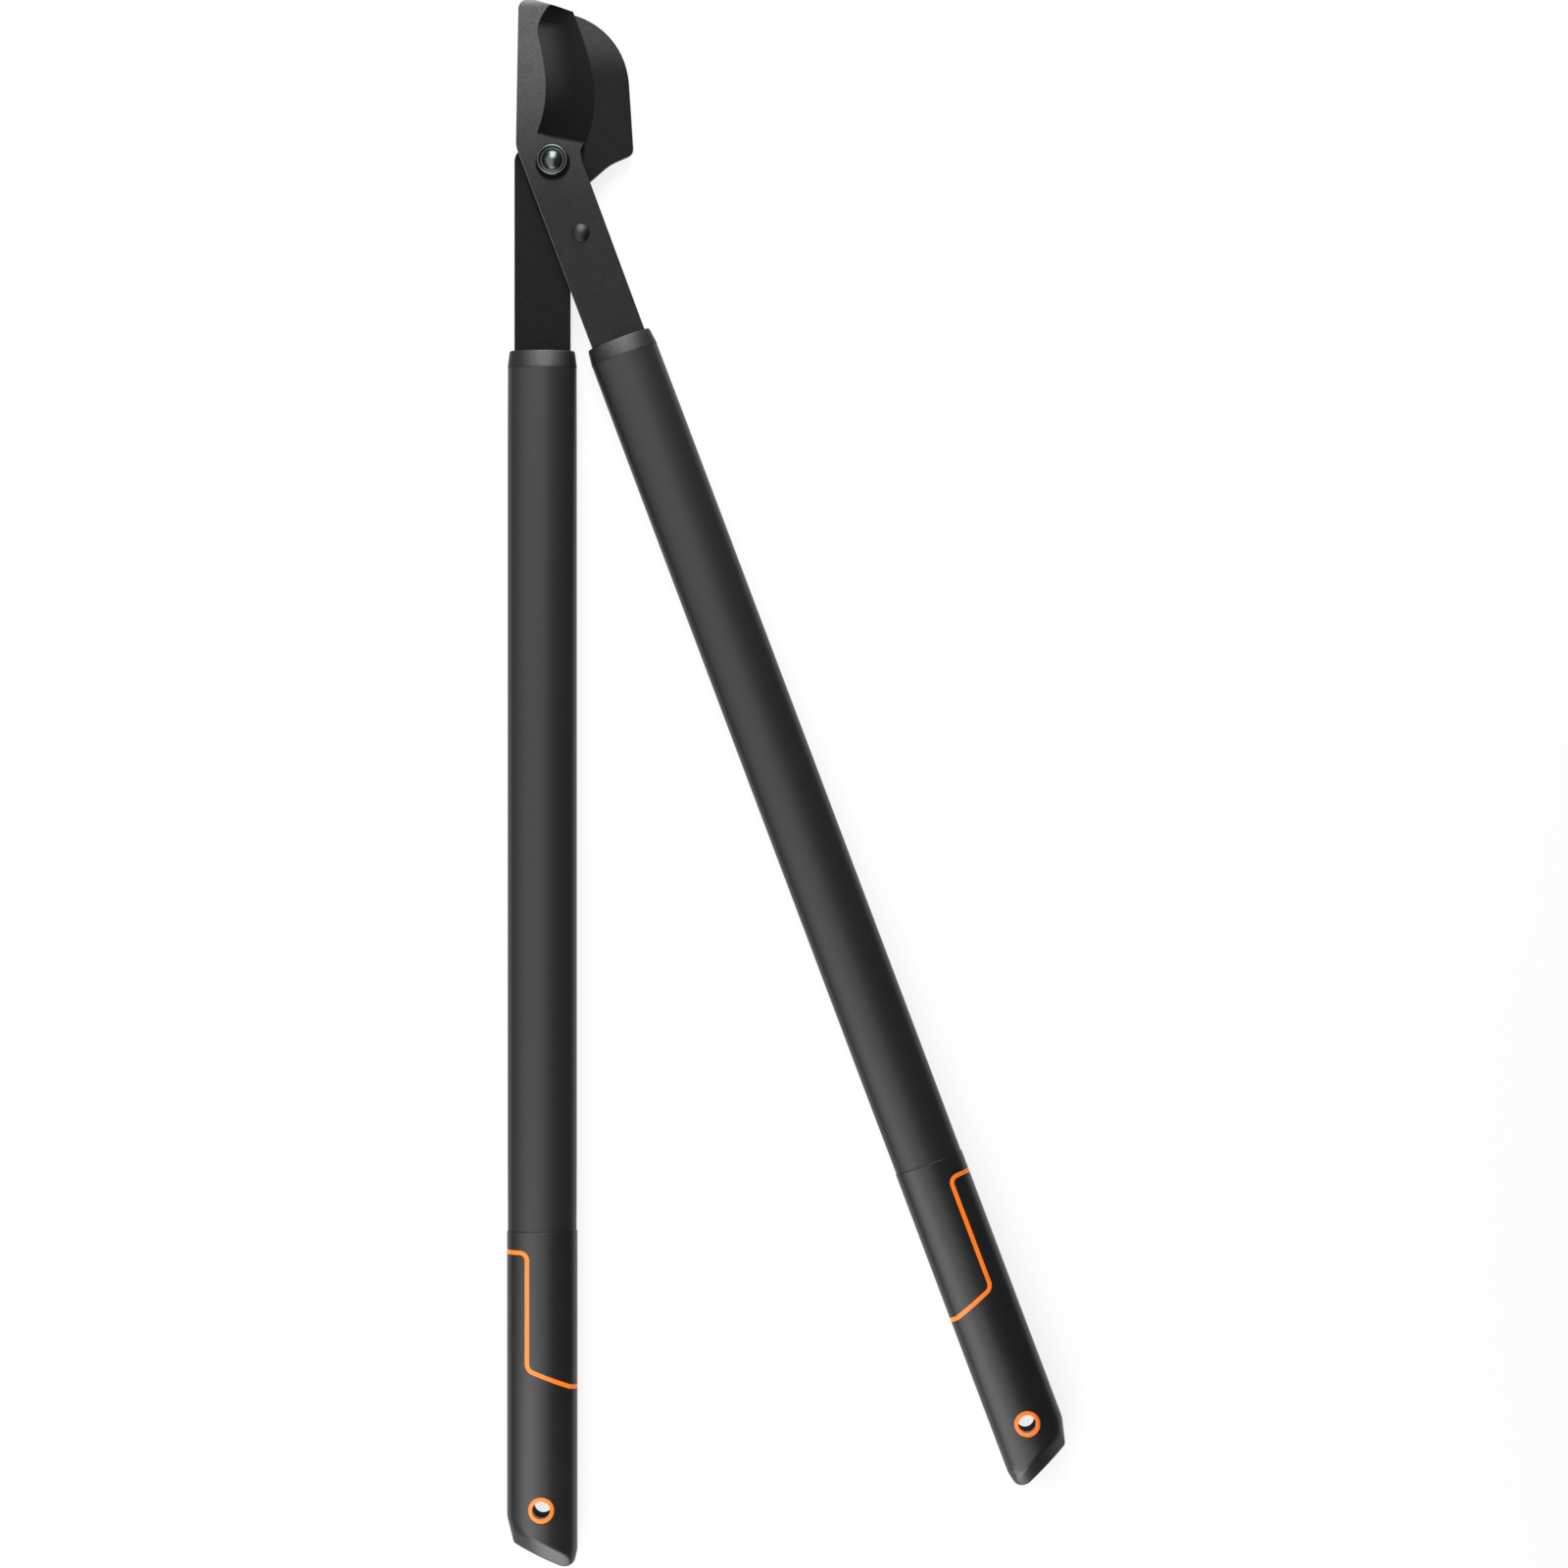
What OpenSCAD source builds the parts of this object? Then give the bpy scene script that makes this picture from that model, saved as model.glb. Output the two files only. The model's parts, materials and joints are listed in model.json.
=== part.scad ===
// Bypass loppers lying flat with the handles closed: one cutting blade that slides past a hooked
// counter blade, each on the end of a long oval handle, joined by one pivot bolt.
// +Z is the front face, +Y points to the head, and the floor is Z = 0.

/* [Handles] */
// Angle between the two handles when the blades are closed
spread = 20.65; // [16:0.05:26]
// Sideways offset of the hook's handle from the pivot
left_offset = -5.3; // [-7:0.1:-3]
// Sideways offset of the blade's handle from the pivot
right_offset = -0.6; // [-2:0.1:1]
// Distance from the pivot to the top of a collar
shank_len = 97; // [85:1:115]
// Width of the flat steel shanks
shank_w = 28.5; // [26:0.5:29]

/* [Tubes] */
// Width of the oval handle tube
tube_w = 35.4; // [34:0.1:38]
// Thickness of the oval handle tube, front to back
tube_h = 22; // [21:0.5:25]
// Radius of the tube's two narrow sides
tube_r = 8; // [7:0.5:9]
// Wall of the tube
tube_wall = 1.3; // [1:0.1:1.8]
// Length of the tube between collar and grip
tube_len = 440; // [200:5:600]
// Slip fit between the tube and what is pushed into it
tube_fit = 0.1; // [0.05:0.05:0.2]

/* [Collars] */
// Height of the collar outside the tube
collar_h = 8.5; // [6:0.5:14]
// How far the collar's top is drawn in from the tube
collar_taper = 0.95; // [0.6:0.05:2]
// How far the collar stands proud of the tube
collar_proud = 0.05; // [0.05:0.05:0.4]
// Length of the collar's plug inside the tube
plug_len = 70; // [60:1:90]
// Width of the tang inside the plug
tang_w = 22; // [18:0.5:23]
// Length of the tang inside collar and plug
tang_len = 64; // [55:1:66]
// Play of the tang in its slot
tang_fit = 0.1; // [0.05:0.05:0.2]
// Diameter of the two cross pins that hold the tang
tang_pin_d = 5; // [4:0.5:6]
// Distance of the first cross pin below the tube's top
tang_pin_down = 14; // [10:1:18]
// Distance between the two cross pins
tang_pin_step = 28; // [20:1:32]

/* [Plates] */
// Thickness of the cutting blade
blade_t = 4; // [3:0.1:4.5]
// Thickness of the hooked counter blade
hook_t = 5; // [4:0.1:5]
// Running gap between the two plates
plate_gap = 0.1; // [0.06:0.02:0.2]
// Thickness left at the cutting edge
edge_t = 0.4; // [0.2:0.1:0.8]
// Depth of the hollow in the ground bevel
hollow = 0.25; // [0:0.05:0.5]
// Length of the run-out where the bevel ends above the pivot
plunge_run = 1.2; // [0.6:0.2:3]
// Width of the small bevel on the back of the hook
hook_bevel_w = 4; // [2:0.5:6]
// Depth of the small bevel on the back of the hook
hook_bevel_t = 2.2; // [1:0.2:3]

/* [Pivot] */
// Diameter of the pivot bolt's shaft
bolt_d = 8; // [7:0.5:9]
// Diameter of the bolt's domed head
dome_d = 10.8; // [10:0.1:11]
// Height of the dome above the cup washer's floor
dome_h = 3; // [2:0.1:4]
// Diameter of the cup washer in front
cup_d = 16; // [15:0.5:18]
// Height of the cup washer's rim
cup_h = 2.4; // [1.8:0.1:3]
// Thickness of the cup washer's floor
cup_floor = 1; // [0.6:0.1:1.4]
// Diameter of the rear washer
washer_d = 17; // [15:0.5:20]
// Thickness of the rear washer
washer_t = 1.2; // [0.8:0.1:1.4]
// Width of the rear nut across its flats
nut_w = 13; // [12:0.5:14]
// Thickness of the rear nut
nut_h = 4; // [3:0.1:4.2]
// Radial running clearance of the shaft in the plates
bore_fit = 0.05; // [0.03:0.01:0.08]
// Gap between stacked faces at the pivot
face_gap = 0.05; // [0.03:0.01:0.1]

/* [Stop] */
// Distance of the stop rivet from the pivot, across the head
stop_x = 14.5; // [14:0.1:15.5]
// Distance of the stop rivet below the pivot
stop_down = 37.1; // [36:0.1:38]
// Diameter of the stop rivet's shaft
rivet_d = 5; // [4:0.5:6]
// Diameter of the stop rivet's heads
rivet_head_d = 9; // [8:0.1:10]
// Height of the stop rivet's domed front head
rivet_head_h = 1.9; // [1.4:0.1:2.4]
// Thickness of the stop rivet's rear head
rivet_tail_h = 1; // [0.8:0.1:1.4]
// Gap left between the bumper and the hook's shank when closed
stop_gap = 0.35; // [0.3:0.05:0.8]

/* [Grips] */
// Length of a grip along its outer side, from the tube to the slanted end
grip_len = 159; // [140:1:190]
// How far the grip stands proud of the tube
grip_proud = 0.3; // [0.1:0.1:0.8]
// Thickness of the two-part cover over the grip's core
cover_t = 2.2; // [1.8:0.1:3]
// Play between the core and its cover
cover_fit = 0.05; // [0.03:0.01:0.1]
// Angle of the slanted end
end_slant = 25.5; // [15:0.5:30]
// How far the outer side is drawn in at the end
outer_taper = 3.4; // [2:0.1:5]
// Length over which the outer side is drawn in
outer_taper_len = 13.5; // [8:0.5:20]
// How far the inner side is drawn in at the end
inner_taper = 2.4; // [1:0.1:4]
// Length over which the inner side is drawn in
inner_taper_len = 11; // [8:0.5:14]
// Width of the bands in front and behind that fall away towards the slanted end
facet_run = 7.4; // [5:0.2:10]
// How far each of those bands falls
facet_fall = 5; // [3:0.5:6]
// Length of the core's spigot inside the tube
spigot_len = 50; // [30:1:80]
// Wall of the hollow core
core_wall = 2.4; // [2:0.1:3]

/* [Accent] */
// Width of the accent seam between the two covers
seam_w = 2.2; // [1.4:0.1:3]
// Distance from the top of the grip to the seam's start on the outer side
seam_top = 10.5; // [6:0.5:20]
// Distance of the seam's long run from the grip's centre line
seam_side = 7.2; // [4:0.1:9]
// Length of the seam's long run
seam_run = 59.5; // [40:0.5:70]
// Slope of the seam's lower leg
seam_slope = 21.8; // [10:0.2:30]

/* [Hang hole] */
// Diameter of the hang hole
hang_d = 9; // [7:0.5:10]
// Outer diameter of the ring round the hang hole
ring_d = 13.3; // [12:0.1:15]
// Depth of the ring in the front face
ring_depth = 6.5; // [3:0.5:8]
// Distance from the hang hole to the grip's outer corner, along the handle
hang_up = 17.9; // [17:0.1:24]
// Bevel on the ring's front edge
ring_bevel = 0.5; // [0.2:0.1:0.8]

/* [Hidden] */
$fn = 96;
past = 1; // how far a cutting shape passes through what it cuts
arc_step = 9; // degrees between points on a rounded corner

// ---- curves and outlines ----

function xy(p) = [p[0], p[1]];
function unit(v) = v / norm(v);
function turned(p, a) = [p[0] * cos(a) - p[1] * sin(a), p[0] * sin(a) + p[1] * cos(a)];
function reversed(list) = [for (i = [len(list) - 1:-1:0]) list[i]];

// A cubic curve from a to d that leaves towards b and arrives from c
function curve(a, b, c, d, steps) = [
    for (i = [0:steps])
        let (t = i / steps, s = 1 - t)
        s * s * s * a + 3 * s * s * t * b + 3 * s * t * t * c + t * t * t * d
];

// The arc that replaces corner i, where a corner is [x, y, radius]
function corner_arc(corners, i) =
    let (
        n = len(corners),
        p = xy(corners[i]),
        r = corners[i][2],
        a = unit(xy(corners[(i + n - 1) % n]) - p),
        b = unit(xy(corners[(i + 1) % n]) - p),
        half = acos(a * b) / 2,
        centre = p + unit(a + b) * r / sin(half),
        first = p + a * r / tan(half) - centre,
        turn = sign(cross(first, p + b * r / tan(half) - centre)) * (180 - 2 * half),
        steps = ceil(abs(turn) / arc_step)
    )
    [for (k = [0:steps]) centre + turned(first, turn * k / steps)];

function rounded(corners) = [
    for (i = [0:len(corners) - 1])
        each (corners[i][2] > 0 ? corner_arc(corners, i) : [xy(corners[i])])
];

function sharp(points) = [for (p = points) [p[0], p[1], 0]];

// A path moved sideways by a distance, to its left
function shifted(path, distance) = [
    for (i = [0:len(path) - 1])
        let (
            last = len(path) - 1,
            along = unit(path[min(i + 1, last)] - path[max(i - 1, 0)])
        )
        path[i] + distance * [-along[1], along[0]]
];

// ---- places shared by the pieces ----
// Handles are drawn pointing down -Y from the pivot, with Z = 0 halfway through their thickness.

collar_top = shank_len;
tube_top = collar_top + collar_h;
grip_top = tube_top + tube_len;
grip_half = tube_w / 2 + grip_proud;
grip_corner = grip_top + grip_len;
hang_at = grip_corner - hang_up;
blade_back = plate_gap / 2; // the side of each plate that faces the other
blade_front = blade_back + blade_t;
hook_back = -plate_gap / 2 - hook_t;
cup_seat = blade_front + face_gap;
washer_seat = hook_back - face_gap;
nut_seat = washer_seat - washer_t - face_gap;
bolt_end = nut_seat - nut_h - face_gap;
pin_places = [for (i = [0, 1]) tube_top + tang_pin_down + i * tang_pin_step];
shank_right = shank_w / 2;

// A place given across and down the blade's own handle
function on_blade(across, down) = turned([right_offset + across, -down], spread);

// ---- cutting blade ----

// The blade is drawn with its pivot at the origin and its cutting edge to the right
blade_tip = [10.5, 76.2];
blade_heel = [16.5, 9.3];
cutting_edge = curve(blade_heel, [24.5, 31.5], [22.2, 43.8], blade_tip, 24);

blade_outline = rounded(concat(
    sharp([on_blade(shank_right, shank_len)]),
    [
        concat(on_blade(shank_right + 0.5, 6), 12), // right edge of the shank, below the neck
        [14.3, 4.6, 5] // the neck beside the pivot
    ],
    sharp(cutting_edge),
    [
        [-10.5, 82.4, 6], // where the top edge starts to fall towards the tip
        [-17.3, 82.3, 5.2], // rounded back corner
        [-18.6, 6.9, 14] // the back meets the shank
    ],
    sharp([on_blade(-shank_right, shank_len)])
));

// Where the bevel starts: along the back of the blade, then round to its top edge
grind_turn = [-7.6, 65.6];
grind_line = concat(
    curve([-7.8, 13.9], [1.1, 36.1], [-5.8, 54.6], grind_turn, 16),
    [for (p = curve(grind_turn, [-7.9, 69.6], [-3.8, 77.4], [-0.6, 79.6], 8)) if (p != grind_turn) p]
);

// ---- hook ----

hook_left = left_offset - shank_w / 2;
hook_right = left_offset + shank_w / 2;
jaw_centre = [0.4, 37.5]; // centre of the hook's round outer side
jaw_r = 38.5;
jaw_edge = curve([9.8, 10.8], [18.8, 24], [19.6, 47], [9.8, 74.3], 20);

hook_outline = rounded(concat(
    sharp([[hook_left, -shank_len]]),
    [[hook_left, 6.6, 7]],
    [[7.5, 8.4, 6]],
    sharp(jaw_edge),
    sharp([for (a = [75:-7.1:4]) jaw_centre + turned([jaw_r, 0], a)]),
    [
        [41.2, 3.9, 4.5], // heel
        [29, -1.4, 24],
        [hook_right, -19, 9] // hidden throat between heel and shank
    ],
    sharp([[hook_right, -shank_len]])
));

// ---- grip ----

grip_outer_corner = [-grip_half + outer_taper, -grip_corner];
grip_inner_x = grip_half - inner_taper;
grip_inner_corner = [
    grip_inner_x,
    -grip_corner - (grip_inner_x - grip_outer_corner[0]) * tan(end_slant)
];

outer_bend_r = 18; // where the outer side starts to draw in
outer_corner_r = 3;
inner_corner_r = 5;
inner_bend_r = 12; // where the inner side starts to draw in

// Outline of a grip seen from the front, below its joint with the tube
grip_outline = rounded([
    [-grip_half, -grip_top, 0],
    [-grip_half, outer_taper_len - grip_corner, outer_bend_r],
    concat(grip_outer_corner, outer_corner_r),
    concat(grip_inner_corner, inner_corner_r),
    [grip_half, grip_inner_corner[1] + inner_taper_len, inner_bend_r],
    [grip_half, -grip_top, 0]
]);

// The grip's half width at a distance down the handle: a side bends at a radius r, then slopes in
function half_at(down, bend_at, taper, taper_len, r) =
    let (
        angle = atan(taper / taper_len),
        into = down - bend_at + r * tan(angle / 2)
    )
    into <= 0 ? grip_half :
    into < r * sin(angle) ? grip_half - r + sqrt(r * r - into * into) :
    grip_half - (down - bend_at) * taper / taper_len;

outer_bend_at = grip_corner - outer_taper_len;
inner_bend_at = -grip_inner_corner[1] - inner_taper_len;
bend_step = 1.5; // distance between the sections that make a bend
end_places = concat(
    [grip_top - past],
    [for (i = [-1:2]) outer_bend_at + i * bend_step],
    [for (i = [-1:1]) inner_bend_at + i * bend_step],
    [past - grip_inner_corner[1]]
);
end_clear = 0.05; // how far the end's cutting shapes stand off the grip's straight sides

// The outline that cuts the slanted end. Its sides carry the draw-in on, up past the grip's own.
side_run = 4;
end_outline = rounded([
    concat(grip_outer_corner + side_run * [-outer_taper, outer_taper_len], 0),
    concat(grip_outer_corner - [2 * end_clear, 0], outer_corner_r),
    concat(grip_inner_corner + [2 * end_clear, 0], inner_corner_r),
    concat(grip_inner_corner + side_run * [inner_taper, inner_taper_len], 0),
    [2 * grip_half, -grip_top, 0],
    [-2 * grip_half, -grip_top, 0]
]);

// The accent seam's path, from the grip's outer side to its inner side
seam_y = -grip_top - seam_top;
seam_leg_y = seam_y - seam_run;
seam_level_x = 14.4; // from here the seam runs nearly level round the inner side
seam_level_y = seam_leg_y - (seam_level_x + seam_side) * tan(seam_slope);
seam_level_fall = 0.6;
seam_reach = grip_half + past;
seam_top_r = 3.8;
seam_r = 4.6;
seam_path = rounded([
    [-seam_reach, seam_y, 0],
    [-seam_side, seam_y, seam_top_r],
    [-seam_side, seam_leg_y, seam_r],
    [seam_level_x, seam_level_y, seam_r],
    [seam_reach, seam_level_y - seam_level_fall, 0]
]);

// ---- frame: the origin is under the middle of the whole outline ----

all_points = concat(
    blade_outline,
    hook_outline,
    [for (p = grip_outline) [left_offset + p[0], p[1]]],
    [for (p = grip_outline) turned([right_offset - p[0], p[1]], spread)]
);
xs = [for (p = all_points) p[0]];
ys = [for (p = all_points) p[1]];
pivot_at = [-(min(xs) + max(xs)) / 2, -(min(ys) + max(ys)) / 2, tube_h / 2 + grip_proud];

module at_pivot() translate(pivot_at) children();
module on_left() at_pivot() translate([left_offset, 0, 0]) children();
module on_right() at_pivot() rotate([0, 0, spread]) translate([right_offset, 0, 0]) children();
module mirrored_right() on_right() mirror([1, 0, 0]) children();

// ---- shared shapes ----

// A four-arc oval of the handle's section, drawn in from the tube's surface by an inset
module section(inset) {
    half_w = tube_w / 2 - inset;
    half_h = tube_h / 2 - inset;
    side_r = tube_r - inset;
    side_x = half_w - side_r;
    face_r = (side_x * side_x + half_h * half_h - side_r * side_r) / (2 * (half_h - side_r));
    join_x = side_x * face_r / (face_r - side_r);
    intersection() {
        translate([0, half_h - face_r])
            circle(face_r);
        translate([0, face_r - half_h])
            circle(face_r);
        square([2 * join_x, 3 * half_h], center = true);
    }
    for (side = [-1, 1])
        intersection() {
            translate([side * side_x, 0])
                circle(side_r);
            translate([side * (join_x + side_r / 2), 0])
                square([side_r, 3 * side_r], center = true);
        }
}

// The handle's section carried down the handle
module handle_bar(inset, from, to) {
    translate([0, -from, 0])
        rotate([90, 0, 0])
            linear_extrude(to - from)
                section(inset);
}

module plate(points, low, high) {
    translate([0, 0, low])
        linear_extrude(high - low)
            polygon(points);
}

module drilled(at, d, low, high) {
    translate([at[0], at[1], low - past])
        cylinder(d = d, h = high - low + 2 * past);
}

// The tang below a shank, with its two cross-pin holes
module tang(low, high) {
    difference() {
        translate([-tang_w / 2, -shank_len - tang_len, low])
            cube([tang_w, tang_len + past, high - low]);
        for (down = pin_places)
            drilled([0, -down], tang_pin_d + 2 * bore_fit, low, high);
    }
}

// The space that a grinding wheel clears above a ground face. The face runs from a line on the
// plate's surface, at height top, down to height low at an edge, and is hollow between them. It
// runs out at the first end and passes the last one. An edge to the left of its line is left_hand.
module ground_space(line, edge, top, low, run_out, left_hand = false) {
    cross_steps = 4;
    lift = 2; // height of the space above the plate
    before = 0.06; // how far the slope is carried on past its line and its edge
    beyond = 0.08;
    last_run = 3;
    n = len(line);
    function face_point(i, j) =
        let (
            s = j < 0 ? -before : j > cross_steps ? 1 + beyond : j / cross_steps,
            p = line[i] + (edge[i] - line[i]) * s,
            sag = j < 0 || j > cross_steps ? 0 : 4 * hollow * s * (1 - s)
        )
        [p[0], p[1], top - (top - low) * s - sag];
    function face_row(i) = [for (j = [-1:cross_steps + 1]) face_point(i, j)];
    function moved(row, step, z) = [
        for (p = row) [p[0] + step[0], p[1] + step[1], is_undef(z) ? p[2] : z]
    ];
    first_step = unit(line[0] - line[1]);
    last_step = unit(line[n - 1] - line[n - 2]);
    rows = concat(
        [moved(face_row(0), first_step * run_out, top + lift / 2)],
        [for (i = [0:n - 1]) face_row(i)],
        [moved(face_row(n - 1), last_step * last_run)]
    );
    wide = cross_steps + 3;
    count = len(rows);
    points = concat(
        [for (row = rows) each row],
        [for (row = rows) each moved(row, [0, 0], top + lift)]
    );
    roof = count * wide;
    function at(i, j) = i * wide + j;
    faces = concat(
        [for (i = [0:count - 2], j = [0:wide - 2]) each [
            [at(i, j), at(i, j + 1), at(i + 1, j + 1)],
            [at(i, j), at(i + 1, j + 1), at(i + 1, j)],
            [roof + at(i, j), roof + at(i + 1, j + 1), roof + at(i, j + 1)],
            [roof + at(i, j), roof + at(i + 1, j), roof + at(i + 1, j + 1)]
        ]],
        [for (i = [0:count - 2]) each [
            [at(i, 0), at(i + 1, 0), roof + at(i, 0)],
            [at(i + 1, 0), roof + at(i + 1, 0), roof + at(i, 0)],
            [at(i, wide - 1), roof + at(i, wide - 1), at(i + 1, wide - 1)],
            [at(i + 1, wide - 1), roof + at(i, wide - 1), roof + at(i + 1, wide - 1)]
        ]],
        [for (j = [0:wide - 2]) each [
            [at(0, j), roof + at(0, j), at(0, j + 1)],
            [at(0, j + 1), roof + at(0, j), roof + at(0, j + 1)],
            [at(count - 1, j), at(count - 1, j + 1), roof + at(count - 1, j)],
            [at(count - 1, j + 1), roof + at(count - 1, j + 1), roof + at(count - 1, j)]
        ]]
    );
    polyhedron(points, left_hand ? [for (face = faces) reversed(face)] : faces);
}

// ---- head ----

module cutting_blade() color("#4a4a4c") {
    at_pivot() {
        difference() {
            plate(blade_outline, blade_back, blade_front);
            drilled([0, 0], bolt_d + 2 * bore_fit, blade_back, blade_front);
            drilled([stop_x, -stop_down], rivet_d + 2 * bore_fit, blade_back, blade_front);
            ground_space(grind_line, cutting_edge, blade_front, blade_back + edge_t, plunge_run);
        }
    }
    on_right()
        tang(blade_back, blade_front);
}

module hook_blade() color("#333335") {
    at_pivot() {
        difference() {
            plate(hook_outline, hook_back, -blade_back);
            drilled([0, 0], bolt_d + 2 * bore_fit, hook_back, -blade_back);
            mirror([0, 0, 1])
                ground_space(
                    shifted(jaw_edge, -hook_bevel_w), jaw_edge,
                    -hook_back, -hook_back - hook_bevel_t, plunge_run, left_hand = true
                );
        }
    }
    on_left()
        tang(hook_back, -blade_back);
}

module pivot_bolt() color("#8d9092") {
    dome_r = (dome_d * dome_d / 4 + dome_h * dome_h) / (2 * dome_h);
    at_pivot() {
        translate([0, 0, cup_seat + cup_floor + face_gap])
            intersection() {
                cylinder(d = dome_d, h = dome_h);
                translate([0, 0, dome_h - dome_r])
                    sphere(dome_r);
            }
        translate([0, 0, bolt_end])
            cylinder(d = bolt_d, h = cup_seat + cup_floor + face_gap - bolt_end + dome_h / 4);
    }
}

// A dished washer with a rolled rim. Its bowl stays clear of the dome.
module cup_washer() color("#77797b") {
    bore_r = bolt_d / 2 + bore_fit;
    rim_r = cup_d / 2;
    roll = 0.5; // radius of the rolled rim
    bowl_r = dome_d / 2 + 0.7;
    bowl_slope = 0.3; // how far the bowl's side leans out
    at_pivot()
        translate([0, 0, cup_seat])
            rotate_extrude()
                polygon(concat(
                    [[bore_r, 0], [rim_r, 0]],
                    [for (a = [0:30:150]) [rim_r - roll, cup_h - roll] + turned([roll, 0], a)],
                    [[bowl_r + bowl_slope, cup_floor + roll], [bowl_r, cup_floor], [bore_r, cup_floor]]
                ));
}

module rear_washer() color("#77797b") {
    at_pivot()
        translate([0, 0, washer_seat - washer_t])
            difference() {
                cylinder(d = washer_d, h = washer_t);
                drilled([0, 0], bolt_d + 2 * bore_fit, 0, washer_t);
            }
}

module lock_nut() color("#77797b") {
    at_pivot()
        translate([0, 0, nut_seat - nut_h])
            difference() {
                intersection() {
                    cylinder(d = nut_w / cos(30), h = nut_h, $fn = 6);
                    // the chamfer that rounds a nut's corners
                    cylinder(d1 = nut_w, d2 = nut_w + 4 * nut_h, h = nut_h);
                }
                drilled([0, 0], bolt_d + 2 * bore_fit, 0, nut_h);
            }
}

// The stop: a rivet through the blade's shank carries a bumper in the hook's plane

bumper_r = stop_x - hook_right - stop_gap;

module at_stop() at_pivot() translate([stop_x, -stop_down, 0]) children();

module stop_rivet() color("#2c2c2e") {
    head_r = rivet_head_d / 2;
    rim_h = 0.5; // height of the head's upright rim
    peak_r = 1.1; // the small peak that the setting tool leaves
    peak_h = 0.3;
    dome_top = rivet_head_h - peak_h;
    tail_d = rivet_head_d - 1;
    at_stop() {
        translate([0, 0, blade_front + face_gap])
            rotate_extrude()
                polygon(concat(
                    [[0, 0], [head_r, 0]],
                    curve([head_r, rim_h], [head_r - rim_h / 2, dome_top - peak_h],
                        [head_r / 2, dome_top], [peak_r, dome_top], 8),
                    [[peak_r / 2, rivet_head_h], [0, rivet_head_h]]
                ));
        translate([0, 0, hook_back - rivet_tail_h])
            cylinder(d = tail_d, h = rivet_tail_h - face_gap);
        translate([0, 0, hook_back - face_gap - rivet_tail_h / 2])
            cylinder(d = rivet_d, h = blade_front + 3 * face_gap - hook_back + rivet_tail_h / 2);
    }
}

module stop_bumper() color("#232323") {
    at_stop()
        translate([0, 0, hook_back])
            difference() {
                cylinder(r = bumper_r, h = blade_back - face_gap - hook_back);
                drilled([0, 0], rivet_d + 2 * bore_fit, 0, hook_t + plate_gap);
            }
}

// ---- handles: one set of shapes, used on the left and mirrored on the right ----

// The collar closes the top of the tube and holds the tang in its plug
module collar(low, high) {
    top_edge = 0.4; // bevel round the collar's top
    // each ring of the collar is [distance below its top, inset from the tube's surface]
    rings = [
        [0, collar_taper + top_edge],
        [top_edge, collar_taper],
        [collar_h, -collar_proud]
    ];
    thin = 0.05;
    slot_w = tang_w + 2 * tang_fit;
    difference() {
        union() {
            hull()
                for (ring = rings)
                    translate([0, -max(ring[0] - thin, 0), 0])
                        handle_bar(ring[1], collar_top, collar_top + thin);
            handle_bar(tube_wall + tube_fit, tube_top - past, tube_top + plug_len);
        }
        translate([-slot_w / 2, -collar_top - tang_len - tang_fit, low - tang_fit])
            cube([slot_w, tang_len + tang_fit + past, high - low + 2 * tang_fit]);
        for (down = pin_places)
            drilled([0, -down], tang_pin_d + 2 * bore_fit, -tube_h / 2, tube_h / 2);
    }
}

module tang_pins() {
    pin_short = 0.5; // how far each end of a pin stays inside the plug
    pin_l = tube_h - 2 * (tube_wall + tube_fit + pin_short);
    for (down = pin_places)
        translate([0, -down, 0])
            cylinder(d = tang_pin_d, h = pin_l, center = true);
}

module tube() {
    difference() {
        handle_bar(0, tube_top, grip_top);
        handle_bar(tube_wall, tube_top - past, grip_top + past);
    }
}

// All that lies behind the grip's front surface, which falls away from a slanted crease towards
// the end and keeps its crown
module behind_front() {
    slice = 0.05;
    facet_down = facet_run / cos(end_slant); // a band's width, measured along the handle
    fall = facet_fall / facet_down;
    crease = grip_outer_corner + [0, facet_down];
    depth = grip_len * fall + 2 * tube_h;
    reach = tube_w;
    outer_end = crease[1] + (crease[0] + reach) * tan(end_slant);
    inner_end = crease[1] + (crease[0] - reach) * tan(end_slant);
    hull()
        for (up = [grip_len, -2 * facet_down], back = [0, depth])
            translate([0, up, up * fall - back])
                intersection() {
                    handle_bar(-grip_proud - end_clear, grip_top, grip_corner + 2 * grip_half);
                    plate([
                        [-reach, outer_end],
                        [-reach, outer_end - slice],
                        [reach, inner_end - slice],
                        [reach, inner_end]
                    ], -tube_h, tube_h);
                }
}

// The space that a grip's end stays in: a loft through ovals that follow its sides, cut to the
// slanted outline and falling away in front and behind
module end_space() {
    slice = 0.05;
    intersection() {
        hull()
            for (down = end_places) {
                outer = half_at(down, outer_bend_at, outer_taper, outer_taper_len, outer_bend_r);
                inner = half_at(down, inner_bend_at, inner_taper, inner_taper_len, inner_bend_r);
                translate([(inner - outer) / 2, 0, 0])
                    scale([(inner + outer) / (2 * grip_half), 1, 1])
                        handle_bar(-grip_proud - end_clear, down, down + slice);
            }
        plate(end_outline, -tube_h, tube_h);
        behind_front();
        mirror([0, 0, 1])
            behind_front();
    }
}

core_inset = cover_t - grip_proud + cover_fit;
core_end = hang_at + ring_d / 2 + core_wall / 2;
ring_seat = tube_h / 2 + grip_proud - ring_depth;

// A round post on the hang hole's axis, trimmed to the grip's surface
module hang_post(d, low, inset) {
    intersection() {
        handle_bar(inset, hang_at - d, hang_at + d);
        translate([0, -hang_at, low])
            cylinder(d = d, h = tube_h);
    }
}

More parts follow.
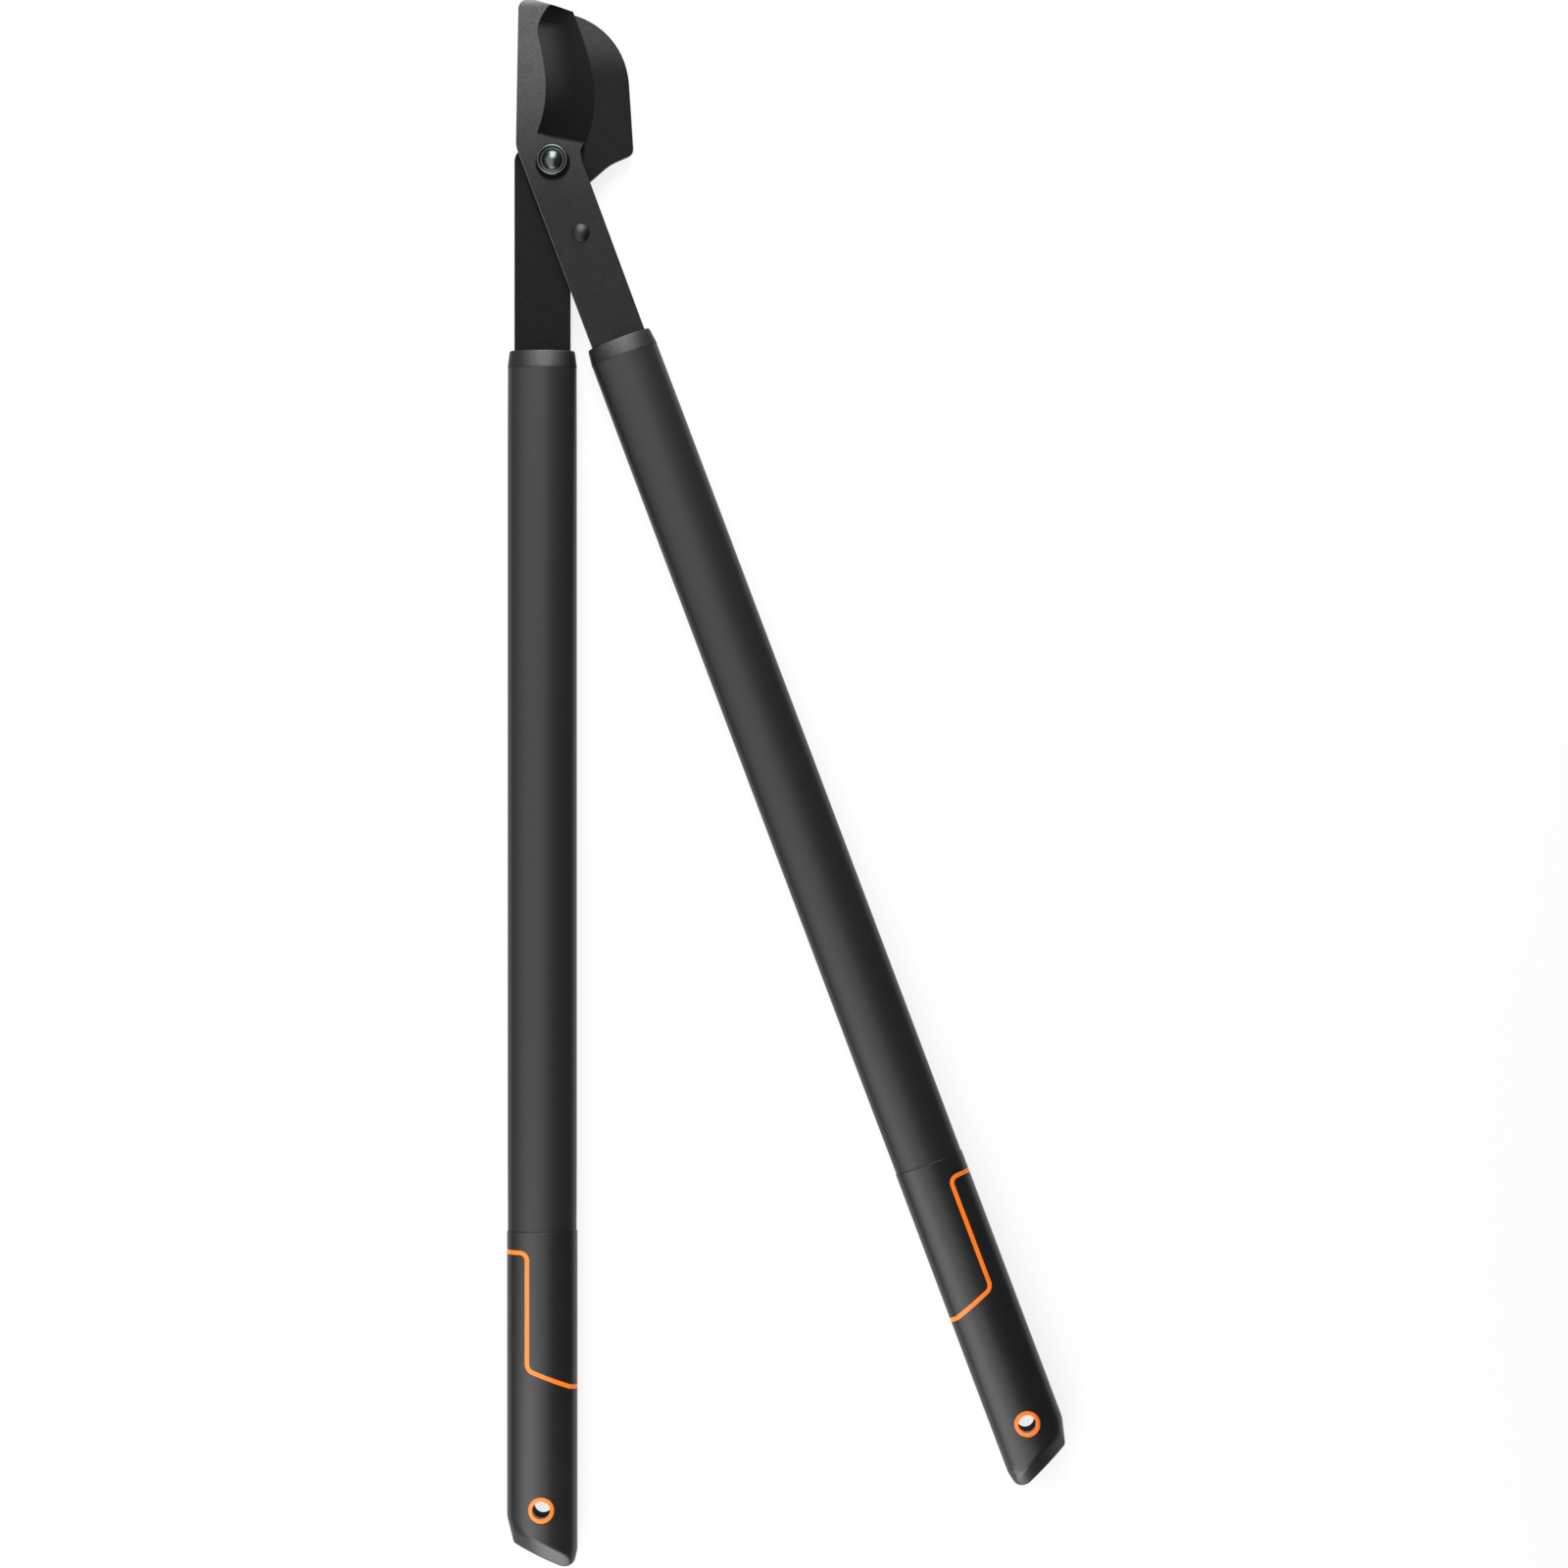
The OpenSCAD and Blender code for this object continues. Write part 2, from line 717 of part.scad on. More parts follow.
module grip_core() {
    boss_d = ring_d;
    difference() {
        union() {
            handle_bar(tube_wall + tube_fit, grip_top - spigot_len, grip_top);
            handle_bar(core_inset, grip_top - past, core_end);
            mirror([0, 0, 1])
                hang_post(boss_d, 0, -grip_proud);
        }
        handle_bar(core_inset + core_wall, grip_top - spigot_len - past, hang_at - boss_d);
        translate([0, -hang_at, ring_seat - face_gap])
            cylinder(d = ring_d + 2 * bore_fit, h = tube_h);
        drilled([0, -hang_at], hang_d, -tube_h, tube_h);
    }
}

// The cover's shell, before the seam splits it in two and its end is cut
module cover_shell() {
    difference() {
        handle_bar(-grip_proud, grip_top, grip_corner + 2 * grip_half);
        handle_bar(core_inset - cover_fit, grip_top - past, core_end + cover_fit);
        drilled([0, -hang_at], ring_d + 2 * bore_fit, -tube_h, tube_h);
    }
}

module upper_cover() {
    intersection() {
        cover_shell();
        plate(concat(
            shifted(seam_path, seam_w / 2),
            [[seam_reach, -grip_top + past], [-seam_reach, -grip_top + past]]
        ), -tube_h, tube_h);
    }
}

module lower_cover() {
    intersection() {
        cover_shell();
        plate(concat(
            shifted(seam_path, -seam_w / 2),
            [[seam_reach, -grip_corner - tube_w], [-seam_reach, -grip_corner - tube_w]]
        ), -tube_h, tube_h);
        end_space();
    }
}

module accent_seam() {
    intersection() {
        cover_shell();
        plate(concat(
            shifted(seam_path, seam_w / 2),
            reversed(shifted(seam_path, -seam_w / 2))
        ), -tube_h, tube_h);
    }
}

module hang_ring() {
    difference() {
        hang_post(ring_d, ring_seat, -grip_proud);
        drilled([0, -hang_at], hang_d, 0, tube_h);
        translate([0, -hang_at, tube_h / 2 + grip_proud - ring_bevel])
            cylinder(d1 = hang_d, d2 = hang_d + 4 * ring_bevel, h = 2 * ring_bevel);
    }
}

module left_collar() color("#3b3b3b") on_left() collar(hook_back, -blade_back);
module left_tang_pins() color("#8a8a8a") on_left() tang_pins();
module left_tube() color("#3f3f40") on_left() tube();
module left_grip_core() color("#1d1d1d") on_left() grip_core();
module left_upper_cover() color("#2b2b2b") on_left() upper_cover();
module left_lower_cover() color("#262626") on_left() lower_cover();
module left_accent_seam() color("#f58220") on_left() accent_seam();
module left_hang_ring() color("#f58220") on_left() hang_ring();
module right_collar() color("#3b3b3b") mirrored_right() collar(blade_back, blade_front);
module right_tang_pins() color("#8a8a8a") mirrored_right() tang_pins();
module right_tube() color("#3f3f40") mirrored_right() tube();
module right_grip_core() color("#1d1d1d") mirrored_right() grip_core();
module right_upper_cover() color("#2b2b2b") mirrored_right() upper_cover();
module right_lower_cover() color("#262626") mirrored_right() lower_cover();
module right_accent_seam() color("#f58220") mirrored_right() accent_seam();
module right_hang_ring() color("#f58220") mirrored_right() hang_ring();

hook_blade();
cutting_blade();
pivot_bolt();
cup_washer();
rear_washer();
lock_nut();
stop_rivet();
stop_bumper();
left_collar();
left_tang_pins();
left_tube();
left_grip_core();
left_upper_cover();
left_lower_cover();
left_accent_seam();
left_hang_ring();
right_collar();
right_tang_pins();
right_tube();
right_grip_core();
right_upper_cover();
right_lower_cover();
right_accent_seam();
right_hang_ring();
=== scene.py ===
"""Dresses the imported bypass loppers: steel, coated tubes, moulded grips and a plain studio."""

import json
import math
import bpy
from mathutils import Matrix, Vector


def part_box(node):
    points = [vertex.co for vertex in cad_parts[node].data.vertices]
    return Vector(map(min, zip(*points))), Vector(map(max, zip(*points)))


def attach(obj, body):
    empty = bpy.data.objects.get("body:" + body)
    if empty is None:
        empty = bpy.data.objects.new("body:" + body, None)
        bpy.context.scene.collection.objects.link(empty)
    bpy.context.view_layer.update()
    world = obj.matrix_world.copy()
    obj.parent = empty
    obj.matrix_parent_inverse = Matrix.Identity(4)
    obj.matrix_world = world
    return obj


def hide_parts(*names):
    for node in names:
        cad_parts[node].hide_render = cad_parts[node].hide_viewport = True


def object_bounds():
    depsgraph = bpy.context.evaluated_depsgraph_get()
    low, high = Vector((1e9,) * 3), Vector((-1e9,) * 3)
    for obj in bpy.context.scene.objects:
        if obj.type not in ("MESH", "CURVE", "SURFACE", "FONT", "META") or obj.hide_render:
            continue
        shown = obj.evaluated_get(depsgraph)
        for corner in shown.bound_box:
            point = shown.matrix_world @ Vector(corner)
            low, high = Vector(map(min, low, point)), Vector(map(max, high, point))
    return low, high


bl_info = {
    "name": "Bypass Loppers",
    "version": (1, 0, 0),
    "blender": (4, 5, 0),
    "location": "3D View > Sidebar > Loppers",
    "description": "Finishes the packed bypass loppers in steel, coated tube and moulded plastic",
    "category": "Add Mesh",
}

import bmesh
import bpy
from bpy.props import FloatProperty, FloatVectorProperty, PointerProperty
from mathutils import Matrix, Vector

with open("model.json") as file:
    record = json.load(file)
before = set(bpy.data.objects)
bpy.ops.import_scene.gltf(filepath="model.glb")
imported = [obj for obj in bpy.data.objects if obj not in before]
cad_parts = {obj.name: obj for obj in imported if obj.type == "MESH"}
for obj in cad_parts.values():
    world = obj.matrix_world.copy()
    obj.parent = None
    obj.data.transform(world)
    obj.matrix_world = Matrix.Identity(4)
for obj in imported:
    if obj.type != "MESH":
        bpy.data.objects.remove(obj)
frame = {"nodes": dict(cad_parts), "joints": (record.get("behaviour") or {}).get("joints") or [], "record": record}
CAD_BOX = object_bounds()

MM = 0.001
# Each handle's side, and the steel plate that it carries
SIDES = {"left": "hook_blade", "right": "cutting_blade"}
PIVOT = Vector(frame["joints"][0]["pos_m"])
TUBE_LOW, TUBE_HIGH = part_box("left_tube")
TUBE_MIDDLE = (TUBE_LOW.x + TUBE_HIGH.x) / 2
TUBE_HALF_WIDTH = (TUBE_HIGH.x - TUBE_LOW.x) / 2
TUBE_HALF_DEPTH = (TUBE_HIGH.z - TUBE_LOW.z) / 2
RING_LOW, RING_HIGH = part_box("left_hang_ring")
RING_RADIUS = (RING_HIGH.x - RING_LOW.x) / 2
# Places up and down the handles are counted from the pivot
TUBE_TOP = TUBE_HIGH.y - PIVOT.y
TUBE_END = TUBE_LOW.y - PIVOT.y
RING_Y = (RING_LOW.y + RING_HIGH.y) / 2 - PIVOT.y

# Both plates below the head, in mm: half widths, and distances down from the pivot
SHANK, TANG = 14.25, 11
SHOULDER, TANG_END, PIN_ROWS = 97, 161, (119.5, 147.5)
# Radii of holes and shafts, and the room between pieces that fit together, in mm
PIVOT_HOLE, PIN_HOLE, HANG_HOLE = 4.05, 2.55, 4.5
BOLT_SHAFT, RIVET_SHAFT, ROOM = 4, 2.5, 0.05
# How many flat steps draw a full circle
ROUND_STEPS = 96


def linear(code):
    """The linear colour of an sRGB hex code."""
    levels = [int(code[i : i + 2], 16) / 255 for i in (1, 3, 5)]
    return [v / 12.92 if v <= 0.04045 else ((v + 0.055) / 1.055) ** 2.4 for v in levels]


def length_property(name, millimetres, description):
    return FloatProperty(
        name=name, description=description, default=millimetres * MM, unit="LENGTH", min=0
    )


def colour_property(name, code, description):
    return FloatVectorProperty(
        name=name, description=description, default=linear(code), subtype="COLOR", size=3
    )


class LoppersSizes(bpy.types.PropertyGroup):
    """Sizes that only the finish uses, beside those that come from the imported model"""

    spread: FloatProperty(
        name="Spread",
        description="Angle between the two handles when the blades are closed",
        default=math.radians(20.65),
        subtype="ANGLE",
    )
    right_offset: FloatProperty(
        name="Right offset",
        description="Sideways offset of the blade's handle from the pivot",
        default=-0.6 * MM,
        unit="LENGTH",
    )
    side_radius: length_property("Side radius", 8, "Radius of the handle's two narrow sides")
    grip_proud: length_property("Grip proud", 0.3, "How far the grip stands proud of the tube")
    seam_width: length_property("Seam width", 2.2, "Width of the orange seam")
    blade_rim: length_property("Blade rim", 0.9, "Rounding of the blade's front rim")
    hook_rim: length_property("Hook rim", 0.4, "Rounding of the hook's front rim")
    tube_lip: length_property("Tube lip", 0.12, "Rounding of a tube's ends")


class LoppersFinish(bpy.types.PropertyGroup):
    """Colours of the metals, coats and plastics"""

    blade_coat: colour_property("Blade coat", "#232324", "Low-friction coat on the blade's flat")
    # painted light: the blade's coat drawn lighter near the tip
    lit_tip_coat: colour_property("Tip coat", "#434343", "The same coat near the blade's tip")
    # the bevel's dark coat stands partly for painted shade of its tilted face
    bevel_coat: colour_property("Bevel coat", "#040404", "The same coat on the ground bevel")
    # painted sheen: the bevel's coat drawn lighter over its upper half
    bevel_sheen_coat: colour_property("Bevel sheen coat", "#242425", "The bevel's coat where a sheen is painted")
    hook_coat: colour_property("Hook coat", "#151516", "Coat on the hooked counter blade")
    # painted light: the hook's coat drawn lighter at its top
    lit_hook_top_coat: colour_property("Hook tip coat", "#303031", "The same coat at the hook's top")
    tube_coat: colour_property("Tube coat", "#161616", "Powder coat on the tubes")
    collar_plastic: colour_property("Collar plastic", "#1e1e1f", "Moulded collars")
    grip_plastic: colour_property("Grip plastic", "#121213", "Soft skin of the grips")
    core_plastic: colour_property("Core plastic", "#0c0c0c", "Hard core of the grips")
    accent_plastic: colour_property("Accent plastic", "#ff7a14", "Orange seams and rings")
    plating: colour_property("Plating", "#545a58", "Plated bolt")
    black_oxide: colour_property("Black oxide", "#343434", "Blackened stop rivet")
    bumper_rubber: colour_property("Bumper rubber", "#161616", "Sleeve on the stop rivet")


class LoppersStage(bpy.types.PropertyGroup):
    """Camera and studio"""

    camera_height: FloatProperty(
        name="Camera height",
        description="Height of the camera above the middle of the handles",
        default=2.15,
        unit="LENGTH",
    )
    focal_length: FloatProperty(
        name="Focal length", description="Lens in mm on a 36 mm frame", default=96.75, unit="CAMERA"
    )
    room_light: FloatProperty(
        name="Room light", description="Strength of the room's own dim light", default=0.1
    )


def sizes():
    return bpy.context.scene.loppers_sizes


def finish():
    return bpy.context.scene.loppers_finish


# ---- nodes and materials ----


# Painted light and shade, in mm. Each collar's front has a painted highlight round a point, and the
# blade's tip one between two heights. A painted shadow lies round the washer: [x, y, dark up to, gone by].
COLLAR_HIGHLIGHTS = {"left": (-123.3, 217), "right": (-85.8, 225.1)}
COLLAR_HIGHLIGHT_REACH = (1, 13)
TIP_HIGHLIGHT = (394.6, 399.6)
WASHER_SHADOW = (-118.75, 315.75, 8.6, 9.1)
# The way that the blade's rim faces where a painted highlight lies on it, and how closely it has to face so
RIM_HIGHLIGHT_FACING = (-0.66, -0.26, 0.7)
RIM_AGREES = (0.965, 0.985)
# Heights in mm between which the bevel's painted sheen begins, and between which it ends
SHEEN_BEGINS, SHEEN_ENDS = (338, 376), (383, 388)
# A fluoropolymer coat bends light less than most plastics
COAT_IOR = 1.35


def add_node(tree, kind, settings, output=None):
    """Adds a node and gives back one of its outputs, or else the node. A setting is an attribute,
    in small letters, or what an input gets: a value, or the output of another node."""
    node = tree.nodes.new("ShaderNode" + kind)
    for key, value in settings.items():
        if isinstance(value, bpy.types.NodeSocket):
            tree.links.new(value, node.inputs[key])
        elif isinstance(key, str) and key.islower():
            setattr(node, key, value)
        else:
            node.inputs[key].default_value = value
    return node.outputs[output] if output else node


def new_surface(name, colour, settings):
    """A material, its tree and shader, and the place on the piece in mm to lay patterns by."""
    material = bpy.data.materials.new(name)
    material.use_nodes = True
    tree = material.node_tree
    shader = tree.nodes["Principled BSDF"]
    for key, value in {"Base Color": (*colour, 1), **settings}.items():
        shader.inputs[key].default_value = value
    place = add_node(tree, "TexCoord", {}, "Object")
    scaled = {"operation": "SCALE", 0: place, "Scale": 1 / MM}
    return material, tree, shader, add_node(tree, "VectorMath", scaled, "Vector")


def shade(colour, factor):
    return [min(1, v * factor) for v in colour]


def fade(tree, in_mm, axis, start, end):
    """A share that grows smoothly from 0 to 1 between two places along an axis, in mm."""
    part = add_node(tree, "SeparateXYZ", {"Vector": in_mm}, axis)
    span = {"interpolation_type": "SMOOTHSTEP", "From Min": start, "From Max": end}
    return add_node(tree, "MapRange", {**span, "Value": part}, "Result")


def round_patch(tree, in_mm, x, y, inner, outer):
    """A share that grows from 0 to 1 between two distances from a point seen from above, in mm."""
    away = {"operation": "SUBTRACT", 0: in_mm, 1: (x, y, 0)}
    away = add_node(tree, "VectorMath", away, "Vector")
    level = {"operation": "MULTIPLY", 0: away, 1: (1, 1, 0)}
    level = add_node(tree, "VectorMath", level, "Vector")
    distance = add_node(tree, "VectorMath", {"operation": "LENGTH", 0: level}, "Value")
    span = {"interpolation_type": "SMOOTHSTEP", "From Min": inner, "From Max": outer}
    return add_node(tree, "MapRange", {**span, "Value": distance}, "Result")


def blend_tones(tree, share, first, second):
    """A colour between two, by a share. Each is a colour or another blend."""
    tones = [c if isinstance(c, bpy.types.NodeSocket) else (*c, 1) for c in (first, second)]
    mix = {"data_type": "RGBA", 0: share, 6: tones[0], 7: tones[1]}
    return add_node(tree, "Mix", mix, 2)


def grain(tree, shader, colour, tones, gloss, height):
    """Lets a pattern scale the base colour and another one set the roughness, each given with
    its values at 0 and 1, and raises a third on the surface, given with its depth in mm."""
    if tones:
        pattern, darker, lighter = tones
        share = {"Value": pattern, "To Min": darker, "To Max": lighter}
        share = add_node(tree, "MapRange", share, "Result")
        scaled = {"operation": "SCALE", 0: colour, "Scale": share}
        scaled = add_node(tree, "VectorMath", scaled, "Vector")
        tree.links.new(scaled, shader.inputs["Base Color"])
    pattern, low, high = gloss
    span = add_node(tree, "MapRange", {"Value": pattern, "To Min": low, "To Max": high}, "Result")
    tree.links.new(span, shader.inputs["Roughness"])
    pattern, depth = height
    bump = {"Height": pattern, "Distance": depth * MM, "Strength": 1.0}
    tree.links.new(add_node(tree, "Bump", bump, "Normal"), shader.inputs["Normal"])


def coated_steel(name, colour, roughness, tip, used=False):
    """Hardened steel, blasted or tumbled, under a thin baked coat: satin, finely speckled."""
    material, tree, shader, in_mm = new_surface(
        name, colour, {"Roughness": roughness, "IOR": COAT_IOR, "Specular IOR Level": 0.08}
    )
    # painted light: the coat turns lighter towards the tip, between two heights
    tip_colour, start, end = tip
    colour = blend_tones(tree, fade(tree, in_mm, "Y", start, end), colour, tip_colour)
    # a painted highlight turns the very tip light grey
    tip_highlight_colour = shade(tip_colour, 3.2)
    colour = blend_tones(tree, fade(tree, in_mm, "Y", *TIP_HIGHLIGHT), colour, tip_highlight_colour)
    if used:
        # a painted shadow darkens the coat round the washer, most of all below it
        shadow_colour = linear("#050403")
        colour = blend_tones(tree, round_patch(tree, in_mm, *WASHER_SHADOW), shadow_colour, colour)
        # a painted highlight draws a thin light line on the rim that sweeps past the hook's shank
        normal = add_node(tree, "TexCoord", {}, "Normal")
        facing = {"operation": "DOT_PRODUCT", 0: normal, 1: RIM_HIGHLIGHT_FACING}
        facing = add_node(tree, "VectorMath", facing, "Value")
        low, high = RIM_AGREES
        span = {"interpolation_type": "SMOOTHSTEP", "From Min": low, "From Max": high}
        line = add_node(tree, "MapRange", {**span, "Value": facing}, "Result")
        colour = blend_tones(tree, line, colour, linear("#5c5c5d"))
    # blasting grit leaves pits about 0.3 mm across, drawn at 1.2 mm so that they show
    grit = add_node(tree, "TexNoise", {"Scale": 1 / 1.2, "Detail": 3.0, "Vector": in_mm}, "Fac")
    # the coat pools in patches some 6 mm across, which count for less
    pools = add_node(tree, "TexNoise", {"Scale": 1 / 6, "Detail": 2.0, "Vector": in_mm}, "Fac")
    weight = 0.35
    both = {"operation": "MULTIPLY_ADD", 0: pools, 1: weight, 2: grit}
    both = add_node(tree, "Math", both, "Value")
    speckle = {"From Min": weight, "From Max": 1.0, "Value": both}
    tones = (add_node(tree, "MapRange", speckle, "Result"), 0.74, 1.26)
    grain(tree, shader, colour, tones, (grit, roughness - 0.06, roughness + 0.06), (grit, 0.015))
    return material


def ground_bevel(name, colour, sheen, level):
    """The bevel, ground smooth before coating: darker, partly as painted shade, and glossier, with faint wheel
    marks.
    """
    material, tree, shader, in_mm = new_surface(
        name, colour, {"Roughness": 0.3, "IOR": COAT_IOR, "Specular IOR Level": 0.15}
    )
    # a painted sheen lightens the coat over the upper half, most of all near the flat
    upper = blend_tones(tree, fade(tree, in_mm, "Y", *SHEEN_BEGINS), colour, sheen)
    upper = blend_tones(tree, fade(tree, in_mm, "Y", *SHEEN_ENDS), upper, colour)
    near_flat = fade(tree, in_mm, "Z", level - 2.6, level - 0.2)
    colour = blend_tones(tree, near_flat, colour, upper)
    # wheel marks cross the bevel about 0.5 mm apart and are drawn out along X
    drawn_out = {"operation": "MULTIPLY", 0: in_mm, 1: (0.04, 1.6, 0.04)}
    drawn_out = add_node(tree, "VectorMath", drawn_out, "Vector")
    marks = {"Scale": 1.0, "Detail": 2.0, "Vector": drawn_out}
    marks = add_node(tree, "TexNoise", marks, "Fac")
    grain(tree, shader, colour, (marks, 0.8, 1.25), (marks, 0.3, 0.4), (marks, 0.004))
    return material


def plated_steel(name, colour, roughness):
    """Steel under a thin plate or black oxide: a dark mirror dulled by fine working marks."""
    material, tree, shader, in_mm = new_surface(
        name, colour, {"Roughness": roughness, "Metallic": 1.0}
    )
    # turning rings are 0.1 mm apart, drawn as patches 1.5 mm wide
    wear = add_node(tree, "TexNoise", {"Scale": 1 / 1.5, "Detail": 3.0, "Vector": in_mm}, "Fac")
    grain(tree, shader, None, None, (wear, roughness - 0.05, roughness + 0.08), (wear, 0.006))
    return material


def powder_coat(name, colour):
    """Drawn aluminium tube under a satin powder coat: smooth, with a faint orange peel."""
    material, tree, shader, in_mm = new_surface(name, colour, {"Roughness": 0.42})
    # orange peel ripples about 1.2 mm apart
    peel = add_node(tree, "TexNoise", {"Scale": 1 / 1.2, "Detail": 1.0, "Vector": in_mm}, "Fac")
    grain(tree, shader, colour, (peel, 0.94, 1.06), (peel, 0.4, 0.44), (peel, 0.004))
    return material


def sparked_nylon(name, colour, highlight_centre):
    """Glass-filled nylon from a spark-eroded mould: a coarse dull grain that catches light."""
    material, tree, shader, in_mm = new_surface(
        name, colour, {"Roughness": 0.5, "Specular IOR Level": 0.35}
    )
    # a painted highlight lightens the middle of the front, and painted shade darkens the rest
    ends = round_patch(tree, in_mm, *highlight_centre, *COLLAR_HIGHLIGHT_REACH)
    painted_highlight, painted_shade = shade(colour, 2.9), shade(colour, 0.4)
    colour = blend_tones(tree, ends, painted_highlight, painted_shade)
    # spark craters are 0.1 mm across, drawn at 0.9 mm so that they show
    pits = add_node(tree, "TexNoise", {"Scale": 1 / 0.9, "Detail": 4.0, "Vector": in_mm}, "Fac")
    grain(tree, shader, colour, (pits, -0.3, 2.3), (pits, 0.4, 0.56), (pits, 0.04))
    return material


def soft_touch(name, colour):
    """Thermoplastic rubber moulded over the core: satin, with a fine leather grain."""
    material, tree, shader, in_mm = new_surface(
        name, colour, {"Roughness": 0.38, "Specular IOR Level": 0.55}
    )
    # the grain's pebbles are 0.25 mm across, drawn at 0.45 mm so that they show
    pebbles = {"feature": "SMOOTH_F1", "Scale": 1 / 0.45, "Smoothness": 0.6, "Vector": in_mm}
    pebbles = add_node(tree, "TexVoronoi", pebbles, "Distance")
    # hands leave marks some 14 mm across
    hands = add_node(tree, "TexNoise", {"Scale": 1 / 14, "Detail": 2.0, "Vector": in_mm}, "Fac")
    grain(tree, shader, colour, (hands, 0.85, 1.15), (hands, 0.34, 0.42), (pebbles, 0.01))
    return material


def smooth_moulding(name, colour, roughness, specular=0.5, shaded_below=None):
    """Plastic from a polished mould: even colour, with the slow waves of a moulded skin."""
    material, tree, shader, in_mm = new_surface(
        name, colour, {"Roughness": roughness, "Specular IOR Level": specular}
    )
    if shaded_below:
        # painted shade darkens the bore below a level
        unshaded, shade_factor = fade(tree, in_mm, "Z", shaded_below - 1.6, shaded_below - 0.5), 0.12
        colour = blend_tones(tree, unshaded, shade(colour, shade_factor), colour)
    # sink waves are some 5 mm across
    sink = add_node(tree, "TexNoise", {"Scale": 1 / 5, "Detail": 1.0, "Vector": in_mm}, "Fac")
    gloss = (sink, roughness - 0.04, roughness + 0.04)
    grain(tree, shader, colour, (sink, 0.93, 1.07), gloss, (sink, 0.01))
    return material


# ---- shapes ----


def oval_arcs(half_width, half_depth):
    """The handle's four-arc oval: its side radius, how far out the sides' centres lie, its face
    radius and the turn of half a side."""
    side_r = sizes().side_radius + half_depth - TUBE_HALF_DEPTH
    side_x = half_width - side_r
    face_r = (side_x**2 + half_depth**2 - side_r**2) / (2 * (half_depth - side_r))
    return side_r, side_x, face_r, math.acos(side_x / (face_r - side_r))


def oval_height(x, half_width, half_depth):
    """How far the oval's front lies above its middle, at a distance across."""
    side_r, side_x, face_r, turn = oval_arcs(half_width, half_depth)
    if abs(x) > side_x + side_r * math.cos(turn):
        return math.sqrt(max(0, side_r**2 - (abs(x) - side_x) ** 2))
    return half_depth - face_r + math.sqrt(face_r**2 - x**2)


def oval(half_width, half_depth):
    """Points of the handle's four-arc oval, as (across, depth), anticlockwise."""
    side_r, side_x, face_r, turn = oval_arcs(half_width, half_depth)
    arcs = [
        (side_x, 0, side_r, -turn, turn, 24),
        (0, half_depth - face_r, face_r, turn, math.pi - turn, 40),
        (-side_x, 0, side_r, math.pi - turn, math.pi + turn, 24),
        (0, face_r - half_depth, face_r, math.pi + turn, 2 * math.pi - turn, 40),
    ]
    points = []
    for x, z, r, first, last, steps in arcs:
        for i in range(steps):
            a = first + (last - first) * i / steps
            points.append((x + r * math.cos(a), z + r * math.sin(a)))
    return points


def handle_oval(inset, y, deep=None):
    """A ring of the handle's oval at a place down the handle, drawn in from the tube's surface by
    an inset, and by another one in front and behind if that differs."""
    points = oval(TUBE_HALF_WIDTH - inset, TUBE_HALF_DEPTH - (inset if deep is None else deep))
    return [Vector((x, y, z)) for x, z in points]


def loft(rings, loop=False):
    """A closed shape through rings of points, of which any may be a single point. Its ends are
    capped, or the last joins the first."""
    shape = bmesh.new()
    rows = [[shape.verts.new(p) for p in ring] for ring in rings]
    for a, b in zip(rows, [*rows[1:], rows[0]] if loop else rows[1:]):
        for i in range(max(len(a), len(b))):
            j = i + 1
            corners = (a[i % len(a)], a[j % len(a)], b[j % len(b)], b[i % len(b)])
            shape.faces.new(list(dict.fromkeys(corners)))
    for row in () if loop else (rows[0], rows[-1]):
        if len(row) > 2:
            shape.faces.new(row)
    return shape


def circle(radius):
    """Points (x, y) round a circle, or its middle alone if the radius is 0."""
    turns = [2 * math.pi * i / ROUND_STEPS for i in range(ROUND_STEPS if radius > 0 else 1)]
    return [(radius * math.cos(a), radius * math.sin(a)) for a in turns]


def revolve(profile, loop=False):
    """Turns a profile of (radius, height) points about the Z axis."""
    return loft([[Vector((x, y, z)) for x, y in circle(r)] for r, z in profile], loop)


def rod(radius, reach):
    """A round bar about the Z axis, which reaches equally far up and down."""
    return revolve([(0, -reach), (radius, -reach), (radius, reach), (0, reach)])


def dome(radius, foot, top, steps, short=0):
    """The profile of a round head from its top down to its foot, or some degrees short of it."""
    rise = top - foot
    ball_r = (radius**2 + rise**2) / (2 * rise)
    edge = math.degrees(math.asin((ball_r - rise) / ball_r))
    return [(0, top), *arc(0, top - ball_r, ball_r, 90, edge + short, steps)[1:]]


def arc(x, z, radius, first, last, steps):
    """Points of an arc, with its angles in degrees."""
    angles = [math.radians(first + (last - first) * i / steps) for i in range(steps + 1)]
    return [(x + radius * math.cos(a), z + radius * math.sin(a)) for a in angles]


def curve(a, b, c, d, steps):
    """Points of a cubic curve that leaves a towards b and arrives at d from c."""
    a, b, c, d = Vector(a), Vector(b), Vector(c), Vector(d)
    shares = [i / steps for i in range(steps + 1)]
    return [
        (1 - t) ** 3 * a + 3 * (1 - t) ** 2 * t * b + 3 * (1 - t) * t**2 * c + t**3 * d
        for t in shares
    ]


def rounded_corner(before, corner, after, steps=12):
    """The points that stand in for a corner (x, y) or (x, y, radius)."""
    at = Vector(corner[:2])
    if len(corner) == 2:
        return [at]
    a = (Vector(before[:2]) - at).normalized()
    b = (Vector(after[:2]) - at).normalized()
    half = a.angle(b) / 2
    reach = corner[2] / math.tan(half)
    centre = at + (a + b).normalized() * corner[2] / math.sin(half)
    start, end = (at + a * reach - centre).normalized(), (at + b * reach - centre).normalized()
    return [centre + corner[2] * start.slerp(end, i / steps) for i in range(steps + 1)]


